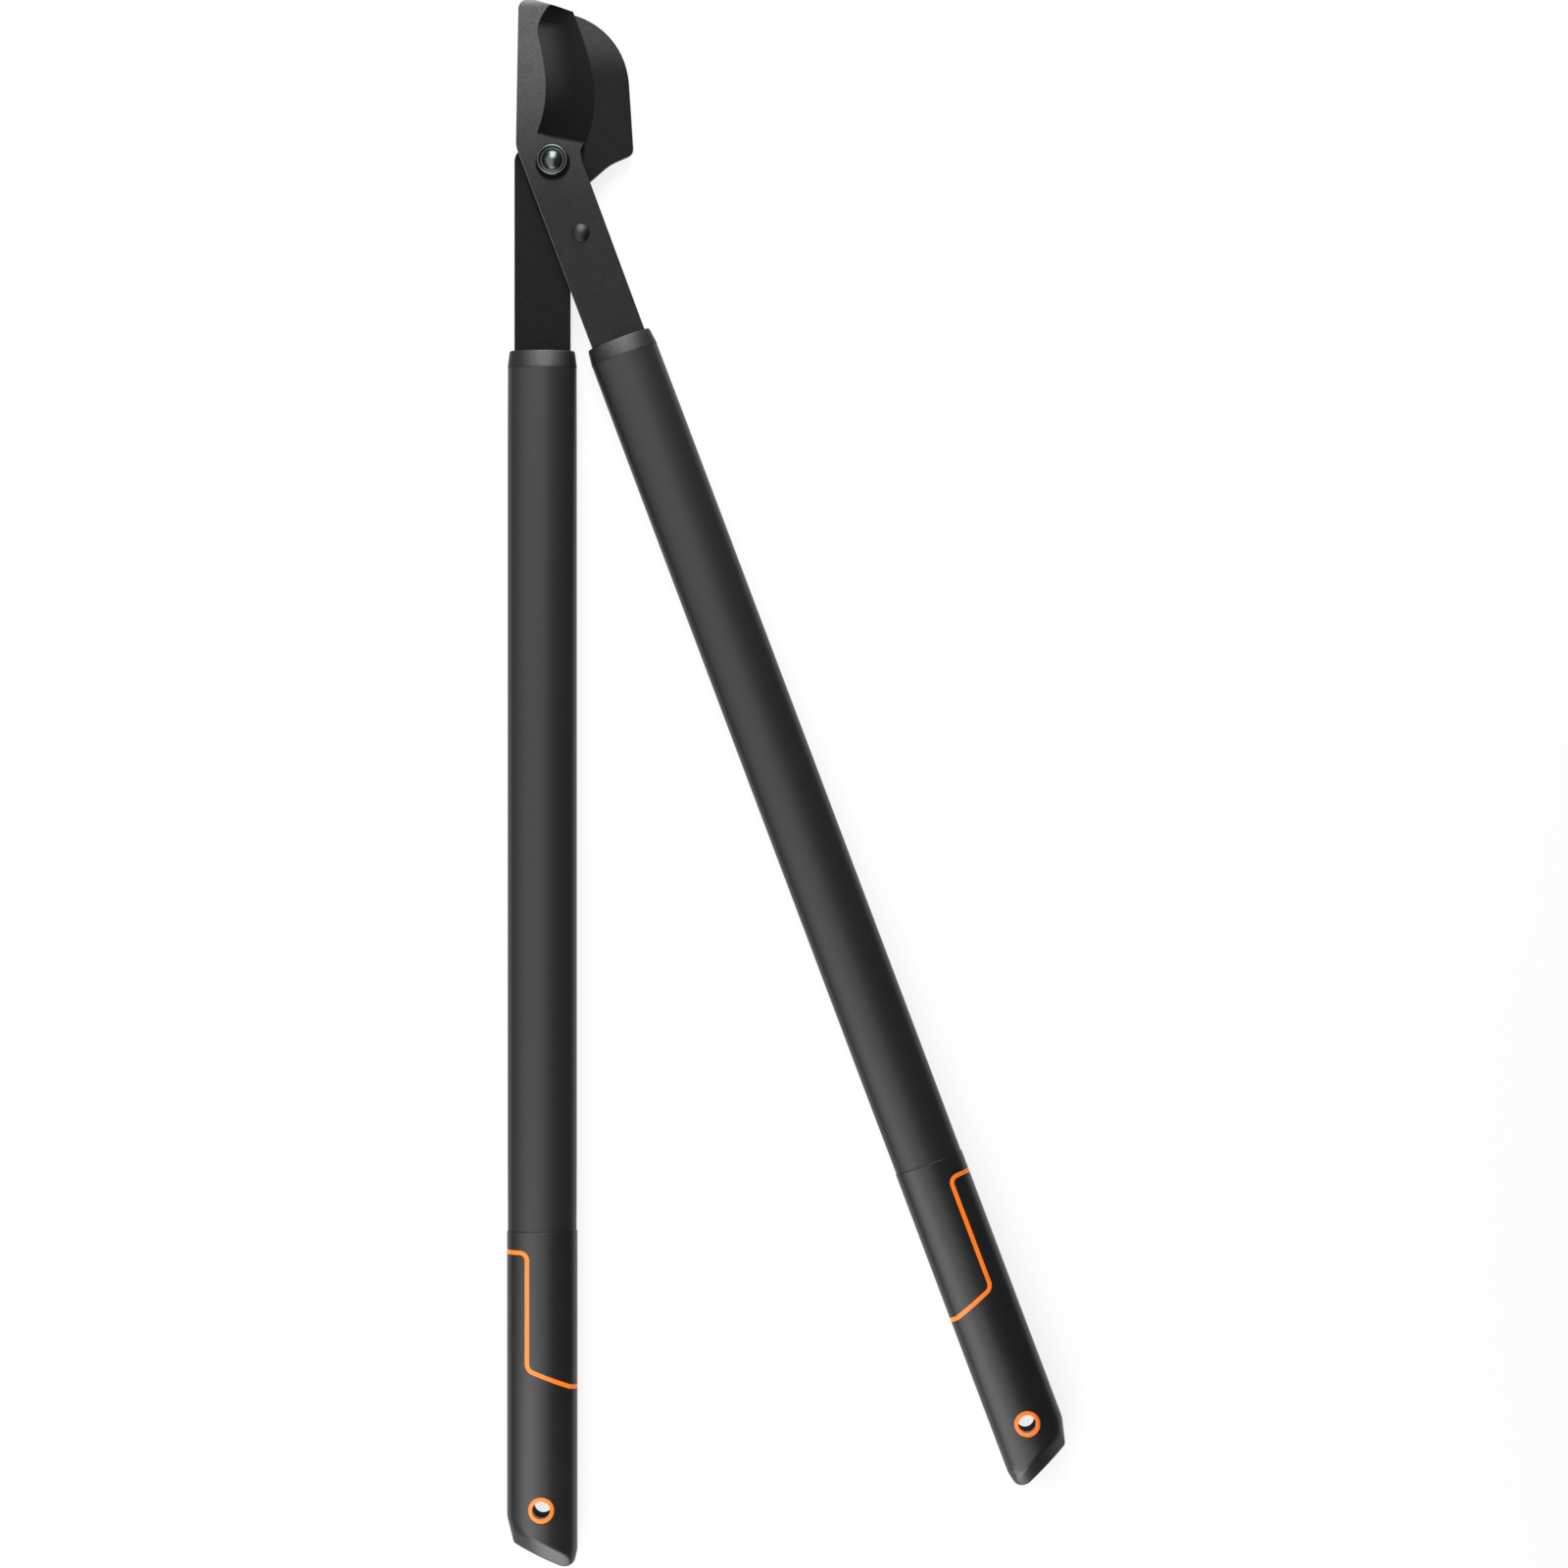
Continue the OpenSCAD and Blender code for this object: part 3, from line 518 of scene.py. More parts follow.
def rounded_path(corners):
    """An open path through corners, each rounded by its radius."""
    trios = zip(corners, corners[1:], corners[2:])
    path = [point for trio in trios for point in rounded_corner(*trio)]
    return [Vector(corners[0][:2]), *path, Vector(corners[-1][:2])]


def rounded_outline(corners):
    """A closed outline through corners, each rounded by its radius."""
    after = [*corners[1:], corners[0]]
    trios = zip([corners[-1], *corners[:-1]], corners, after)
    return [point for trio in trios for point in rounded_corner(*trio)]


def shifted(path, distance):
    """The path moved sideways, to its left."""
    moved = []
    for i, point in enumerate(path):
        along = (path[min(i + 1, len(path) - 1)] - path[max(i - 1, 0)]).normalized()
        moved.append(point + distance * Vector((-along.y, along.x)))
    return moved


def prism(outline, low, high):
    """A closed prism on an outline in the XY plane."""
    return loft([[Vector((p[0], p[1], z)) for p in outline] for z in (low, high)])


def new_object(name, shape):
    """An object with a shape, which is used up, with all its faces turned outwards."""
    bmesh.ops.recalc_face_normals(shape, faces=shape.faces)
    if shape.calc_volume(signed=True) < 0:
        bmesh.ops.reverse_faces(shape, faces=shape.faces)
    mesh = bpy.data.meshes.new(name)
    shape.to_mesh(mesh)
    shape.free()
    obj = bpy.data.objects.new(name, mesh)
    bpy.context.scene.collection.objects.link(obj)
    return obj


def carve(piece, tool_shape, operation="DIFFERENCE"):
    """Cuts a shape, which is used up, out of a piece, or combines the two in another way."""
    tool = new_object("tool", tool_shape)
    modifier = piece.modifiers.new("Cut", "BOOLEAN")
    modifier.operation = operation
    modifier.solver = "EXACT"
    modifier.object = tool
    bpy.context.view_layer.update()
    graph = bpy.context.evaluated_depsgraph_get()
    mesh = bpy.data.meshes.new_from_object(piece.evaluated_get(graph))
    piece.modifiers.clear()
    piece.data = mesh
    bpy.data.objects.remove(tool)
    return piece


def copy_of(piece, name):
    other = piece.copy()
    other.data = piece.data.copy()
    other.name = name
    bpy.context.scene.collection.objects.link(other)
    return other


def crisp_between_finishes(piece):
    """Keeps the edges where two finishes meet crisp."""
    shape = bmesh.new()
    shape.from_mesh(piece.data)
    for edge in shape.edges:
        if len({face.material_index for face in edge.link_faces}) > 1:
            edge.smooth = False
    shape.to_mesh(piece.data)
    shape.free()


def settle(piece, node, materials, crease=30):
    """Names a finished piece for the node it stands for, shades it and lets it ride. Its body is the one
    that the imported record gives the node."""
    record = frame["record"]
    body = next(b for b, nodes in record["behaviour"]["bodies"].items() if node in nodes)
    piece.name = "dressed_" + node
    piece.data.name = piece.name
    for i, material in enumerate(materials):
        if i < len(piece.data.materials):
            piece.data.materials[i] = material
        else:
            piece.data.materials.append(material)
    piece.data.shade_smooth()
    piece.data.set_sharp_from_angle(angle=math.radians(crease))
    crisp_between_finishes(piece)
    weighted = piece.modifiers.new("Flat faces stay flat", "WEIGHTED_NORMAL")
    weighted.keep_sharp = True
    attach(piece, body)
    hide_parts(node)


def on_handle(piece, side):
    """Moves a piece drawn down -Y from the pivot onto one of the handles. The right one is its
    mirror image, so the faces are turned round."""
    if side == "left":
        piece.data.transform(Matrix.Translation((TUBE_MIDDLE, PIVOT.y, PIVOT.z)))
        return piece
    piece.data.transform(
        Matrix.Translation(PIVOT)
        @ Matrix.Rotation(sizes().spread, 4, "Z")
        @ Matrix.Translation((sizes().right_offset, 0, 0))
        @ Matrix.Scale(-1, 4, (1, 0, 0))
    )
    piece.data.flip_normals()
    return piece


def turned(profile, centre, loop=False):
    """A piece turned from a profile about an upright line through a place."""
    piece = new_object("turned", revolve(profile, loop))
    piece.data.transform(Matrix.Translation((centre.x, centre.y, 0)))
    return piece


def eased_copy(node, ease):
    """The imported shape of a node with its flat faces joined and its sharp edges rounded."""
    weld, flat, corner = 0.002 * MM, math.radians(0.4), math.radians(50)
    shape = bmesh.new()
    shape.from_mesh(frame["nodes"][node].data)
    bmesh.ops.remove_doubles(shape, verts=shape.verts, dist=weld)
    bmesh.ops.dissolve_limit(shape, angle_limit=flat, verts=shape.verts, edges=shape.edges)
    shape.normal_update()
    bmesh.ops.bevel(
        shape,
        geom=[e for e in shape.edges if e.calc_face_angle(0) > corner],
        offset=ease,
        offset_type="OFFSET",
        segments=2,
        profile=0.5,
        affect="EDGES",
        clamp_overlap=True,
    )
    return new_object(node, shape)


def drawn_in(outline, distance):
    """An anticlockwise outline moved inwards by a distance."""
    ring, sharpest = [], 0.4
    for before, at, after in zip([outline[-1], *outline[:-1]], outline, [*outline[1:], outline[0]]):
        a, b = (at - before).normalized(), (after - at).normalized()
        inwards = Vector((-a.y - b.y, a.x + b.x)).normalized()
        ring.append(at + inwards * distance / max(sharpest, inwards.dot(Vector((-a.y, a.x)))))
    return ring


def steel_plate(outline, low, high, rim, back_rim):
    """A plate on an anticlockwise outline in mm, with a rounded front rim and an eased back one."""
    turns = [math.radians(a) for a in (0, 15, 30, 45, 60, 75, 90)]
    levels = [(back_rim, low), (back_rim * 0.3, low + back_rim * 0.3), (0, low + back_rim)]
    levels += [(rim * (1 - math.cos(a)), high - rim * (1 - math.sin(a))) for a in turns]
    return loft(
        [[Vector((p.x, p.y, z)) for p in drawn_in(outline, inset)] for inset, z in levels]
    )


def ground_space(line, edge, top, low, hollow, run_out):
    """The space that a grinding wheel clears, in mm, over a face that falls from a line on the
    plate to its edge. The face is hollow, runs out at the first end and passes the last."""
    # the face starts a little before the line and ends a little past the edge
    steps, before, past = 16, -0.06, 1.08
    clear, last_run = 2.0, 3.0
    shares = [before, *(i / steps for i in range(steps + 1)), past]
    rows = []
    for start, end in zip(line, edge):
        row = []
        for share in shares:
            sag = max(0, 4 * hollow * share * (1 - share))
            at = start + (end - start) * share
            row.append(Vector((at.x, at.y, top - (top - low) * share - sag)))
        rows.append(row)
    back = (line[0] - line[1]).normalized().to_3d()
    wheel = []
    for turn in (90, 72, 54, 36, 18):
        a = math.radians(turn)
        out, up = back * run_out * math.sin(a), 1 - math.cos(a)
        wheel.append([p + out + Vector((0, 0, (top + clear / 2 - p.z) * up)) for p in rows[0]])
    last = (line[-1] - line[-2]).normalized().to_3d() * last_run
    rows = [*wheel, *rows, [p + last for p in rows[-1]]]
    roof = top + clear
    return loft([[*row, Vector((*row[-1].xy, roof)), Vector((*row[0].xy, roof))] for row in rows])


def steel_blade(name, shape, cutter, holes):
    """A plate, its ground face and its drilled holes, moved from mm at the pivot to its place."""
    place = Matrix.Translation(PIVOT) @ Matrix.Scale(MM, 4)
    bmesh.ops.transform(shape, matrix=place, verts=shape.verts)
    bmesh.ops.transform(cutter, matrix=place, verts=cutter.verts)
    for face in cutter.faces:
        face.material_index = 1
    piece = new_object(name, shape)
    # two empty slots, so that the ground face keeps the second one
    piece.data.materials.append(None)
    piece.data.materials.append(None)
    carve(piece, cutter)
    through = 20
    for x, y, radius in holes:
        drill, centre = rod(radius, through), Matrix.Translation((x, y, 0))
        bmesh.ops.transform(drill, matrix=place @ centre, verts=drill.verts)
        carve(piece, drill)
    return piece


# ---- pieces ----


def plate_faces(node):
    """How high a plate's back and front lie over the middle of the pivot, in mm."""
    return [(corner.z - PIVOT.z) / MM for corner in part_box(node)]


def on_blade(across, down):
    """A place given in mm across and down the blade's own handle."""
    place = Vector((sizes().right_offset / MM + across, -down))
    place.rotate(Matrix.Rotation(sizes().spread, 2))
    return place


class LOPPERS_OT_cutting_blade(bpy.types.Operator):
    """Cuts out the blade, grinds its hollow bevel and gives its flat and bevel their coats"""

    bl_idname = "loppers.cutting_blade"
    bl_label = "Cutting Blade"

    def execute(self, context):
        back, front = plate_faces("cutting_blade")
        # the cutting edge, and the line where the grinding begins, both from the heel up
        edge = curve((16.5, 9.3), (24.5, 31.5), (22.2, 43.8), (10.5, 76.2), 96)
        turn = (-7.6, 65.6)
        line = curve((-7.8, 13.9), (1.1, 36.1), (-5.8, 54.6), turn, 64)
        line += curve(turn, (-7.9, 69.6), (-3.8, 77.4), (-0.6, 79.6), 32)[1:]
        # corners (x, y) or (x, y, radius) in mm from the pivot
        outline = rounded_outline(
            [
                on_blade(TANG, SHOULDER),
                on_blade(SHANK, SHOULDER),
                (*on_blade(SHANK + 0.5, 6), 12),
                (14.3, 4.6, 5),
                *edge,
                (-10.5, 82.39, 6),
                (-17.3, 82.29, 5.2),
                (-18.6, 6.9, 14),
                on_blade(-SHANK, SHOULDER),
                on_blade(-TANG, SHOULDER),
                on_blade(-TANG, TANG_END),
                on_blade(TANG, TANG_END),
            ]
        )
        stop_hole = (14.5, -37.1, PIN_HOLE)
        piece = steel_blade(
            "blade",
            steel_plate(outline, back, front, sizes().blade_rim / MM, back_rim=0.15),
            ground_space(line, edge, top=front, low=back + 0.4, hollow=0.25, run_out=1.2),
            [(0, 0, PIVOT_HOLE), stop_hole, *((*on_blade(0, d), PIN_HOLE) for d in PIN_ROWS)],
        )
        coats = finish()
        # painted light on the blade: lighter towards the tip between these heights in mm
        tip = (coats.lit_tip_coat, 290, 385)
        name = "Low-friction coated steel, blasted"
        # used adds the painted shadow round the washer and the painted highlight on the rim
        flat = coated_steel(name, coats.blade_coat, roughness=0.42, tip=tip, used=True)
        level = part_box("cutting_blade")[1].z / MM
        bevel = ground_bevel(
            "Low-friction coated steel, ground", coats.bevel_coat, coats.bevel_sheen_coat, level
        )
        settle(piece, "cutting_blade", [flat, bevel], crease=24)
        return {"FINISHED"}


class LOPPERS_OT_hook_blade(bpy.types.Operator):
    """Cuts out the hooked counter blade, grinds the small bevel on its back and coats it"""

    bl_idname = "loppers.hook_blade"
    bl_label = "Hooked Counter Blade"

    def execute(self, context):
        back, front = plate_faces("hook_blade")
        offset = (TUBE_MIDDLE - PIVOT.x) / MM
        edge = curve((9.8, 10.8), (18.8, 24), (19.6, 47), (9.8, 74.3), 80)
        # corners (x, y) or (x, y, radius) in mm from the pivot
        outline = rounded_outline(
            [
                (offset - TANG, -SHOULDER),
                (offset - SHANK, -SHOULDER),
                (offset - SHANK, 6.6, 7),
                (7.5, 8.4, 6),
                *edge,
                *arc(0.4, 37.5, 38.5, 75, 4, 40),
                (41.2, 3.9, 4.5),
                (29, -1.4, 24),
                (offset + SHANK, -19, 9),
                (offset + SHANK, -SHOULDER),
                (offset + TANG, -SHOULDER),
                (offset + TANG, -TANG_END),
                (offset - TANG, -TANG_END),
            ]
        )
        # the bevel is on the back, so its space is made in front and turned over
        cutter = ground_space(
            shifted(edge, -4), edge, top=-back, low=-back - 2.2, hollow=0.25, run_out=1.2
        )
        bmesh.ops.transform(cutter, matrix=Matrix.Scale(-1, 4, (0, 0, 1)), verts=cutter.verts)
        piece = steel_blade(
            "hook",
            steel_plate(outline[::-1], back, front, sizes().hook_rim / MM, back_rim=0.15),
            cutter,
            [(0, 0, PIVOT_HOLE), *((offset, -d, PIN_HOLE) for d in PIN_ROWS)],
        )
        # painted light on the hook: lighter towards its top between these heights in mm
        tip = (finish().lit_hook_top_coat, 358, 384)
        coat = coated_steel("Coated steel, tumbled", finish().hook_coat, roughness=0.55, tip=tip)
        settle(piece, "hook_blade", [coat, coat], crease=24)
        return {"FINISHED"}


class LOPPERS_OT_pivot(bpy.types.Operator):
    """Turns the domed bolt and its cup washer, and finishes the washer and nut behind"""

    bl_idname = "loppers.pivot"
    bl_label = "Pivot Bolt, Washers and Nut"

    def execute(self, context):
        plate, dull_plate = finish().plating, shade(finish().plating, 0.8)
        bright = plated_steel("Nickel-plated steel, polished", plate, roughness=0.27)
        dull = plated_steel("Zinc-plated steel, turned", dull_plate, roughness=0.28)
        low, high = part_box("pivot_bolt")
        cup_low, cup_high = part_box("cup_washer")
        seat = cup_low.z + 1.05 * MM
        head_r, shaft_r = (high.x - low.x) / 2, BOLT_SHAFT * MM
        flank_r, flank, chamfer = head_r - 0.06 * MM, 0.25 * MM, 0.4 * MM
        profile = [
            *dome(head_r, seat, high.z, 24, short=4),
            (flank_r, seat + flank),
            (flank_r, seat),
            (shaft_r, seat),
            (shaft_r, low.z + chamfer),
            (shaft_r - chamfer, low.z),
            (0, low.z),
        ]
        settle(turned(profile, PIVOT), "pivot_bolt", [bright])

        # the cup has a rolled rim, a small bead inside it, and a floor for the head
        rim, bore = (cup_high.x - cup_low.x) / 2, shaft_r + ROOM * MM
        roll, bead, chamfer = 0.65 * MM, 0.42 * MM, 0.15 * MM
        side, tuck, gap, dip = 0.6 * MM, 0.12 * MM, 0.1 * MM, 0.05 * MM
        floor, bead_r = cup_low.z + 1.0 * MM, head_r + tuck + bead
        profile = [
            (bore, cup_low.z),
            (rim - chamfer, cup_low.z),
            (rim, cup_low.z + chamfer),
            (rim, cup_low.z + side),
            *arc(rim - tuck - roll, cup_high.z - roll, roll, 0, 165, 14),
            (bead_r + bead + gap, floor),
            *arc(bead_r, floor + gap, bead, 0, 180, 12),
            (bead_r - bead, floor - dip),
            (bore, floor - dip),
        ]
        settle(turned(profile, PIVOT, loop=True), "cup_washer", [dull])

        for node in ("rear_washer", "lock_nut"):
            settle(eased_copy(node, ease=0.2 * MM), node, [dull])
        return {"FINISHED"}


class LOPPERS_OT_stop(bpy.types.Operator):
    """Turns the blackened stop rivet and the rubber bumper that it carries"""

    bl_idname = "loppers.stop"
    bl_label = "Stop Rivet and Bumper"

    def execute(self, context):
        low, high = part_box("stop_rivet")
        bumper_low, bumper_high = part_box("stop_bumper")
        middle = (low + high) / 2
        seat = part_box("cutting_blade")[1].z + ROOM * MM
        tail_top = bumper_low.z - ROOM * MM
        head_r, shaft_r, tail_r = (high.x - low.x) / 2, RIVET_SHAFT * MM, 4 * MM
        ease, brim = 0.3 * MM, 0.35 * MM
        profile = [
            *dome(head_r, seat + brim, high.z, 20),
            (head_r, seat),
            (shaft_r, seat),
            (shaft_r, tail_top),
            (tail_r, tail_top),
            *arc(tail_r - ease, low.z + ease, ease, 0, -90, 4),
            (0, low.z),
        ]
        black = plated_steel("Black-oxide steel, upset", finish().black_oxide, roughness=0.42)
        rivet = turned(profile, middle)
        settle(rivet, "stop_rivet", [black], crease=40)

        outer, bore = (bumper_high.x - bumper_low.x) / 2, shaft_r + ROOM * MM
        profile = [
            (bore, bumper_low.z),
            *arc(outer - ease, bumper_low.z + ease, ease, -90, 0, 4),
            *arc(outer - ease, bumper_high.z - ease, ease, 0, 90, 4),
            (bore, bumper_high.z),
        ]
        rubber = soft_touch("Nitrile rubber, moulded", finish().bumper_rubber)
        bumper = turned(profile, middle, loop=True)
        settle(bumper, "stop_bumper", [rubber])
        return {"FINISHED"}


# The collar's height over the tube, in mm, and its rings: distance below its top, then how far
# its sides, and its front and back, lie in from the tube's surface
COLLAR_HEIGHT = 8.5
COLLAR_RINGS = [
    (0.0, 1.7, 2.6),
    (0.04, 1.5, 2.4),
    (0.15, 1.28, 2.15),
    (0.35, 1.1, 1.95),
    (0.7, 0.96, 1.78),
    (1.5, 0.85, 1.58),
    (3.0, 0.66, 1.23),
    (5.0, 0.4, 0.78),
    (7.0, 0.14, 0.32),
    (8.2, 0.0, 0.05),
    (8.42, 0.0, 0.02),
    (COLLAR_HEIGHT, 0.1, 0.12),
    (COLLAR_HEIGHT, 1.4, 1.4),
    (78.0, 1.4, 1.4),
    (78.5, 1.9, 1.9),
]


class LOPPERS_OT_collars(bpy.types.Operator):
    """Lofts the tapered collars with their plugs and cuts the slots for the tangs"""

    bl_idname = "loppers.collars"
    bl_label = "Collars"

    def execute(self, context):
        top = TUBE_TOP + COLLAR_HEIGHT * MM
        rings = [handle_oval(x * MM, top - down * MM, z * MM) for down, x, z in COLLAR_RINGS]
        # the slot holds the tang with some play, and is cut from over the collar's top
        play, over = 0.1, top + 1 * MM
        half, end = (TANG + play) * MM, top - (TANG_END - SHOULDER + play) * MM
        slot = [(-half, over), (half, over), (half, end), (-half, end)]
        for side, plate in SIDES.items():
            low, high = (corner.z - PIVOT.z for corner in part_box(plate))
            piece = carve(
                new_object("collar", loft(rings)), prism(slot, low - play * MM, high + play * MM)
            )
            name = f"Glass-filled nylon, spark-textured, {side}"
            # each collar's painted highlight lies round its own point
            plastic = sparked_nylon(name, finish().collar_plastic, COLLAR_HIGHLIGHTS[side])
            settle(on_handle(piece, side), side + "_collar", [plastic])
        return {"FINISHED"}


class LOPPERS_OT_tubes(bpy.types.Operator):
    """Draws the hollow oval tubes with rounded lips"""

    bl_idname = "loppers.tubes"
    bl_label = "Tubes"

    def execute(self, context):
        coat = powder_coat("Powder-coated aluminium, drawn", finish().tube_coat)
        lip, wall, steps = sizes().tube_lip, 1.3 * MM, 12
        turns = (0, 0.4, 0.8, 1.2, 1.57)
        soft = [(lip * (1 - math.sin(a)), lip * (1 - math.cos(a))) for a in turns]
        between = [TUBE_TOP + (TUBE_END - TUBE_TOP) * i / steps for i in range(1, steps)]
        rings = [handle_oval(inset, TUBE_TOP - down) for down, inset in soft]
        rings += [handle_oval(0, y) for y in between]
        rings += [handle_oval(inset, TUBE_END + down) for down, inset in reversed(soft)]
        rings += [handle_oval(wall, y) for y in (TUBE_END, TUBE_TOP)]
        for side in SIDES:
            piece = on_handle(new_object("tube", loft(rings, loop=True)), side)
            settle(piece, side + "_tube", [coat], crease=40)
        return {"FINISHED"}


def seam_path():
    """The middle of the orange seam, from past the grip's outer side to past its inner side."""
    # the straight leg's top and foot, how far across it lies, and past the sides, in mm
    top = TUBE_END / MM - 10.5
    foot = top - 59.5
    leg, past = -7.2, 19
    corners = [(-past, top), (leg, top, 3.8), (leg, foot, 4.6), (14.4, foot - 8.64, 4.6)]
    return [p * MM for p in rounded_path([*corners, (past, foot - 9.24)])]


def soft_lower(a, b, ease):
    """The lower of two heights, eased where they cross."""
    return min(a, b) - max(0, ease - abs(a - b)) ** 2 / (4 * ease)


def grip_halves():
    """Half the grip's width and half its depth."""
    return TUBE_HALF_WIDTH + sizes().grip_proud, TUBE_HALF_DEPTH + sizes().grip_proud


def skin_ring(left, right, half_depth, drop, y, slope=0):
    """A ring of the grip's oval from left to right, no thicker anywhere than the grip's full
    oval with its front and back each drawn in by a drop. It lies where y falls by a slope."""
    half_width, centre = (right - left) / 2, (right + left) / 2
    full_width = grip_halves()[0]
    steps, ease, thinnest = 72, 0.8 * MM, 0.02 * MM
    ring = []
    for i in range(2 * steps):
        x = half_width * math.cos(math.pi * i / steps)
        height = oval_height(x, half_width, half_depth)
        fallen = oval_height(min(full_width, centre + x), full_width, half_depth) - drop
        height = max(thinnest, soft_lower(height, fallen, ease))
        face = 0 if i % steps == 0 else 1 if i < steps else -1
        ring.append(Vector((centre + x, y - (centre + x) * slope, face * height)))
    return ring


def reach_across(outline, slope, level):
    """How far left and right a slanted line, y = level - slope * x, reaches in an outline."""
    above = [p.y + slope * p.x - level for p in outline]
    ends = []
    for i, q in enumerate(outline):
        p, a, b = outline[i - 1], above[i - 1], above[i]
        if (a > 0) != (b > 0):
            ends.append((p + (q - p) * a / (a - b)).x)
    return min(ends), max(ends)


def grip_skin():
    """The whole skin of a grip: the handle's oval with sides that draw in, then front and back
    bands that fall away towards the slanted end."""
    half_width, half_depth = grip_halves()
    length = 159 * MM
    corner = TUBE_END - length
    slope = math.tan(math.radians(25.5))
    outer_x, inner_x = -half_width + 3.4 * MM, half_width - 2.4 * MM
    inner_corner = corner - (inner_x - outer_x) * slope
    outline = rounded_outline(
        [
            (-half_width, TUBE_END),
            (-half_width, corner + 13.5 * MM, 18 * MM),
            (outer_x, corner, 3 * MM),
            (inner_x, inner_corner, 5 * MM),
            (half_width, inner_corner + 11 * MM, 12 * MM),
            (half_width, TUBE_END),
        ]
    )
    # straight rings down to the bands, which no drop reaches
    lip, pitch, no_drop = 0.25 * MM, 12 * MM, -5 * MM
    places = [(TUBE_END, lip), (TUBE_END - 0.08 * MM, 0.08 * MM)]
    places += [(TUBE_END - lip - pitch * i, 0) for i in range(11)]
    rings = [
        skin_ring(inset - half_width, half_width - inset, half_depth - inset, no_drop, y)
        for y, inset in places
    ]

    # the bands' width and fall, and the rounding of the end
    band = 7.4 * MM / math.cos(math.atan(slope))
    fall, soft = 5 * MM / band, 0.8 * MM
    level = corner + outer_x * slope
    # distances up from the end, closest where the bands begin and at the rounding
    places = [20, 18, 16, 15, 14, 13, 12, 11, 10.5, 10, 9.5, 9.25, 9, 8.75, 8.5, 8.25, 8, 7.75]
    places += [7.5, 7.25, 7, 6.5, 6, 5.5, 5, 4.5, 4, 3, 2, 1.3]
    places = [up * MM for up in places]
    places += [soft * (1 - math.sin(math.radians(15 * i))) for i in range(6)] + [0.002 * MM]
    for up in places:
        drop = fall * (band - up)
        if up < soft:
            drop += soft * (1 - math.sqrt(1 - (1 - up / soft) ** 2))
        left, right = reach_across(outline, slope, level + up)
        rings.append(skin_ring(left, right, half_depth, drop, level + up, slope))
    return loft(rings)


class LOPPERS_OT_covers(bpy.types.Operator):
    """Moulds the grips: two covers in soft plastic with the orange seam set between them"""

    bl_idname = "loppers.covers"
    bl_label = "Grip Covers and Seams"

    def execute(self, context):
        skin_plastic = soft_touch("Thermoplastic rubber, leather-grained", finish().grip_plastic)
        orange = smooth_moulding(
            "Thermoplastic rubber, two-shot orange", finish().accent_plastic, roughness=0.42
        )
        # the core's cavity, and the hole that the hang ring sits in, are cut from the whole skin
        through, over, wall = 20 * MM, 1 * MM, 1.9 * MM
        cavity_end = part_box("left_grip_core")[0].y - PIVOT.y - ROOM * MM
        cavity = [handle_oval(wall, y) for y in (TUBE_END + over, cavity_end)]
        shell = carve(new_object("shell", grip_skin()), loft(cavity))
        hole = rod(RING_RADIUS + ROOM * MM, through)
        bmesh.ops.translate(hole, verts=hole.verts, vec=(0, RING_Y, 0))
        carve(shell, hole)

        path = seam_path()
        half = sizes().seam_width / 2
        above, below = shifted(path, half), shifted(path, -half)
        reach = abs(path[0].x)

        def side_to_side(y):
            return [Vector((reach, y)), Vector((-reach, y))]

        parts = {
            "accent_seam": (above + below[::-1], orange),
            "upper_cover": (above + side_to_side(TUBE_END + over), skin_plastic),
            "lower_cover": (below + side_to_side(TUBE_END - 200 * MM), skin_plastic),
        }
        for part, (outline, material) in parts.items():
            cut = carve(copy_of(shell, part), prism(outline, -through, through), "INTERSECT")
            for side in SIDES:
                piece = on_handle(copy_of(cut, part), side)
                settle(piece, side + "_" + part, [material], crease=24)
            bpy.data.objects.remove(cut)
        bpy.data.objects.remove(shell)
        return {"FINISHED"}


class LOPPERS_OT_hang_rings(bpy.types.Operator):
    """Turns the orange rings of the hang holes, with lips that follow the grip's crown"""

    bl_idname = "loppers.hang_rings"
    bl_label = "Hang Rings"

    def execute(self, context):
        # the ring's bore gets painted shade below its top
        orange = smooth_moulding(
            "Thermoplastic rubber, ring",
            finish().accent_plastic,
            roughness=0.42,
            shaded_below=RING_HIGH.z / MM,
        )
        bore, lip, ease = HANG_HOLE * MM, 0.5 * MM, 0.15 * MM
        base = RING_LOW.z - PIVOT.z
        # (radius, drop below the grip's surface), or None at the ring's foot
        section = [(bore, None), *((bore + lip - x, lip - z) for x, z in arc(0, 0, lip, 0, 90, 5))]
        section += [(RING_RADIUS - ease, 0), (RING_RADIUS, ease), (RING_RADIUS, None)]
        rings = []
        for r, drop in section:
            ring = []
            for x, y in circle(r):
                z = base if drop is None else oval_height(x, *grip_halves()) - drop
                ring.append(Vector((x, y + RING_Y, z)))
            rings.append(ring)
        for side in SIDES:
            piece = on_handle(new_object("ring", loft(rings, loop=True)), side)
            settle(piece, side + "_hang_ring", [orange], crease=40)
        return {"FINISHED"}


class LOPPERS_OT_inner_pieces(bpy.types.Operator):
    """Finishes the grip cores and the tang pins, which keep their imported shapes"""

    bl_idname = "loppers.inner_pieces"
    bl_label = "Grip Cores and Tang Pins"

    def execute(self, context):
        core = smooth_moulding(
            "Polypropylene, injection-moulded", finish().core_plastic, roughness=0.8, specular=0.1
        )
        ground = shade(finish().plating, 0.8)
        pin = plated_steel("Steel, centreless-ground", ground, roughness=0.25)
        for side in SIDES:
            for part, material in (("grip_core", core), ("tang_pins", pin)):
                slots = frame["nodes"][side + "_" + part].data.materials
                slots.clear()
                slots.append(material)
        return {"FINISHED"}


# ---- stage ----

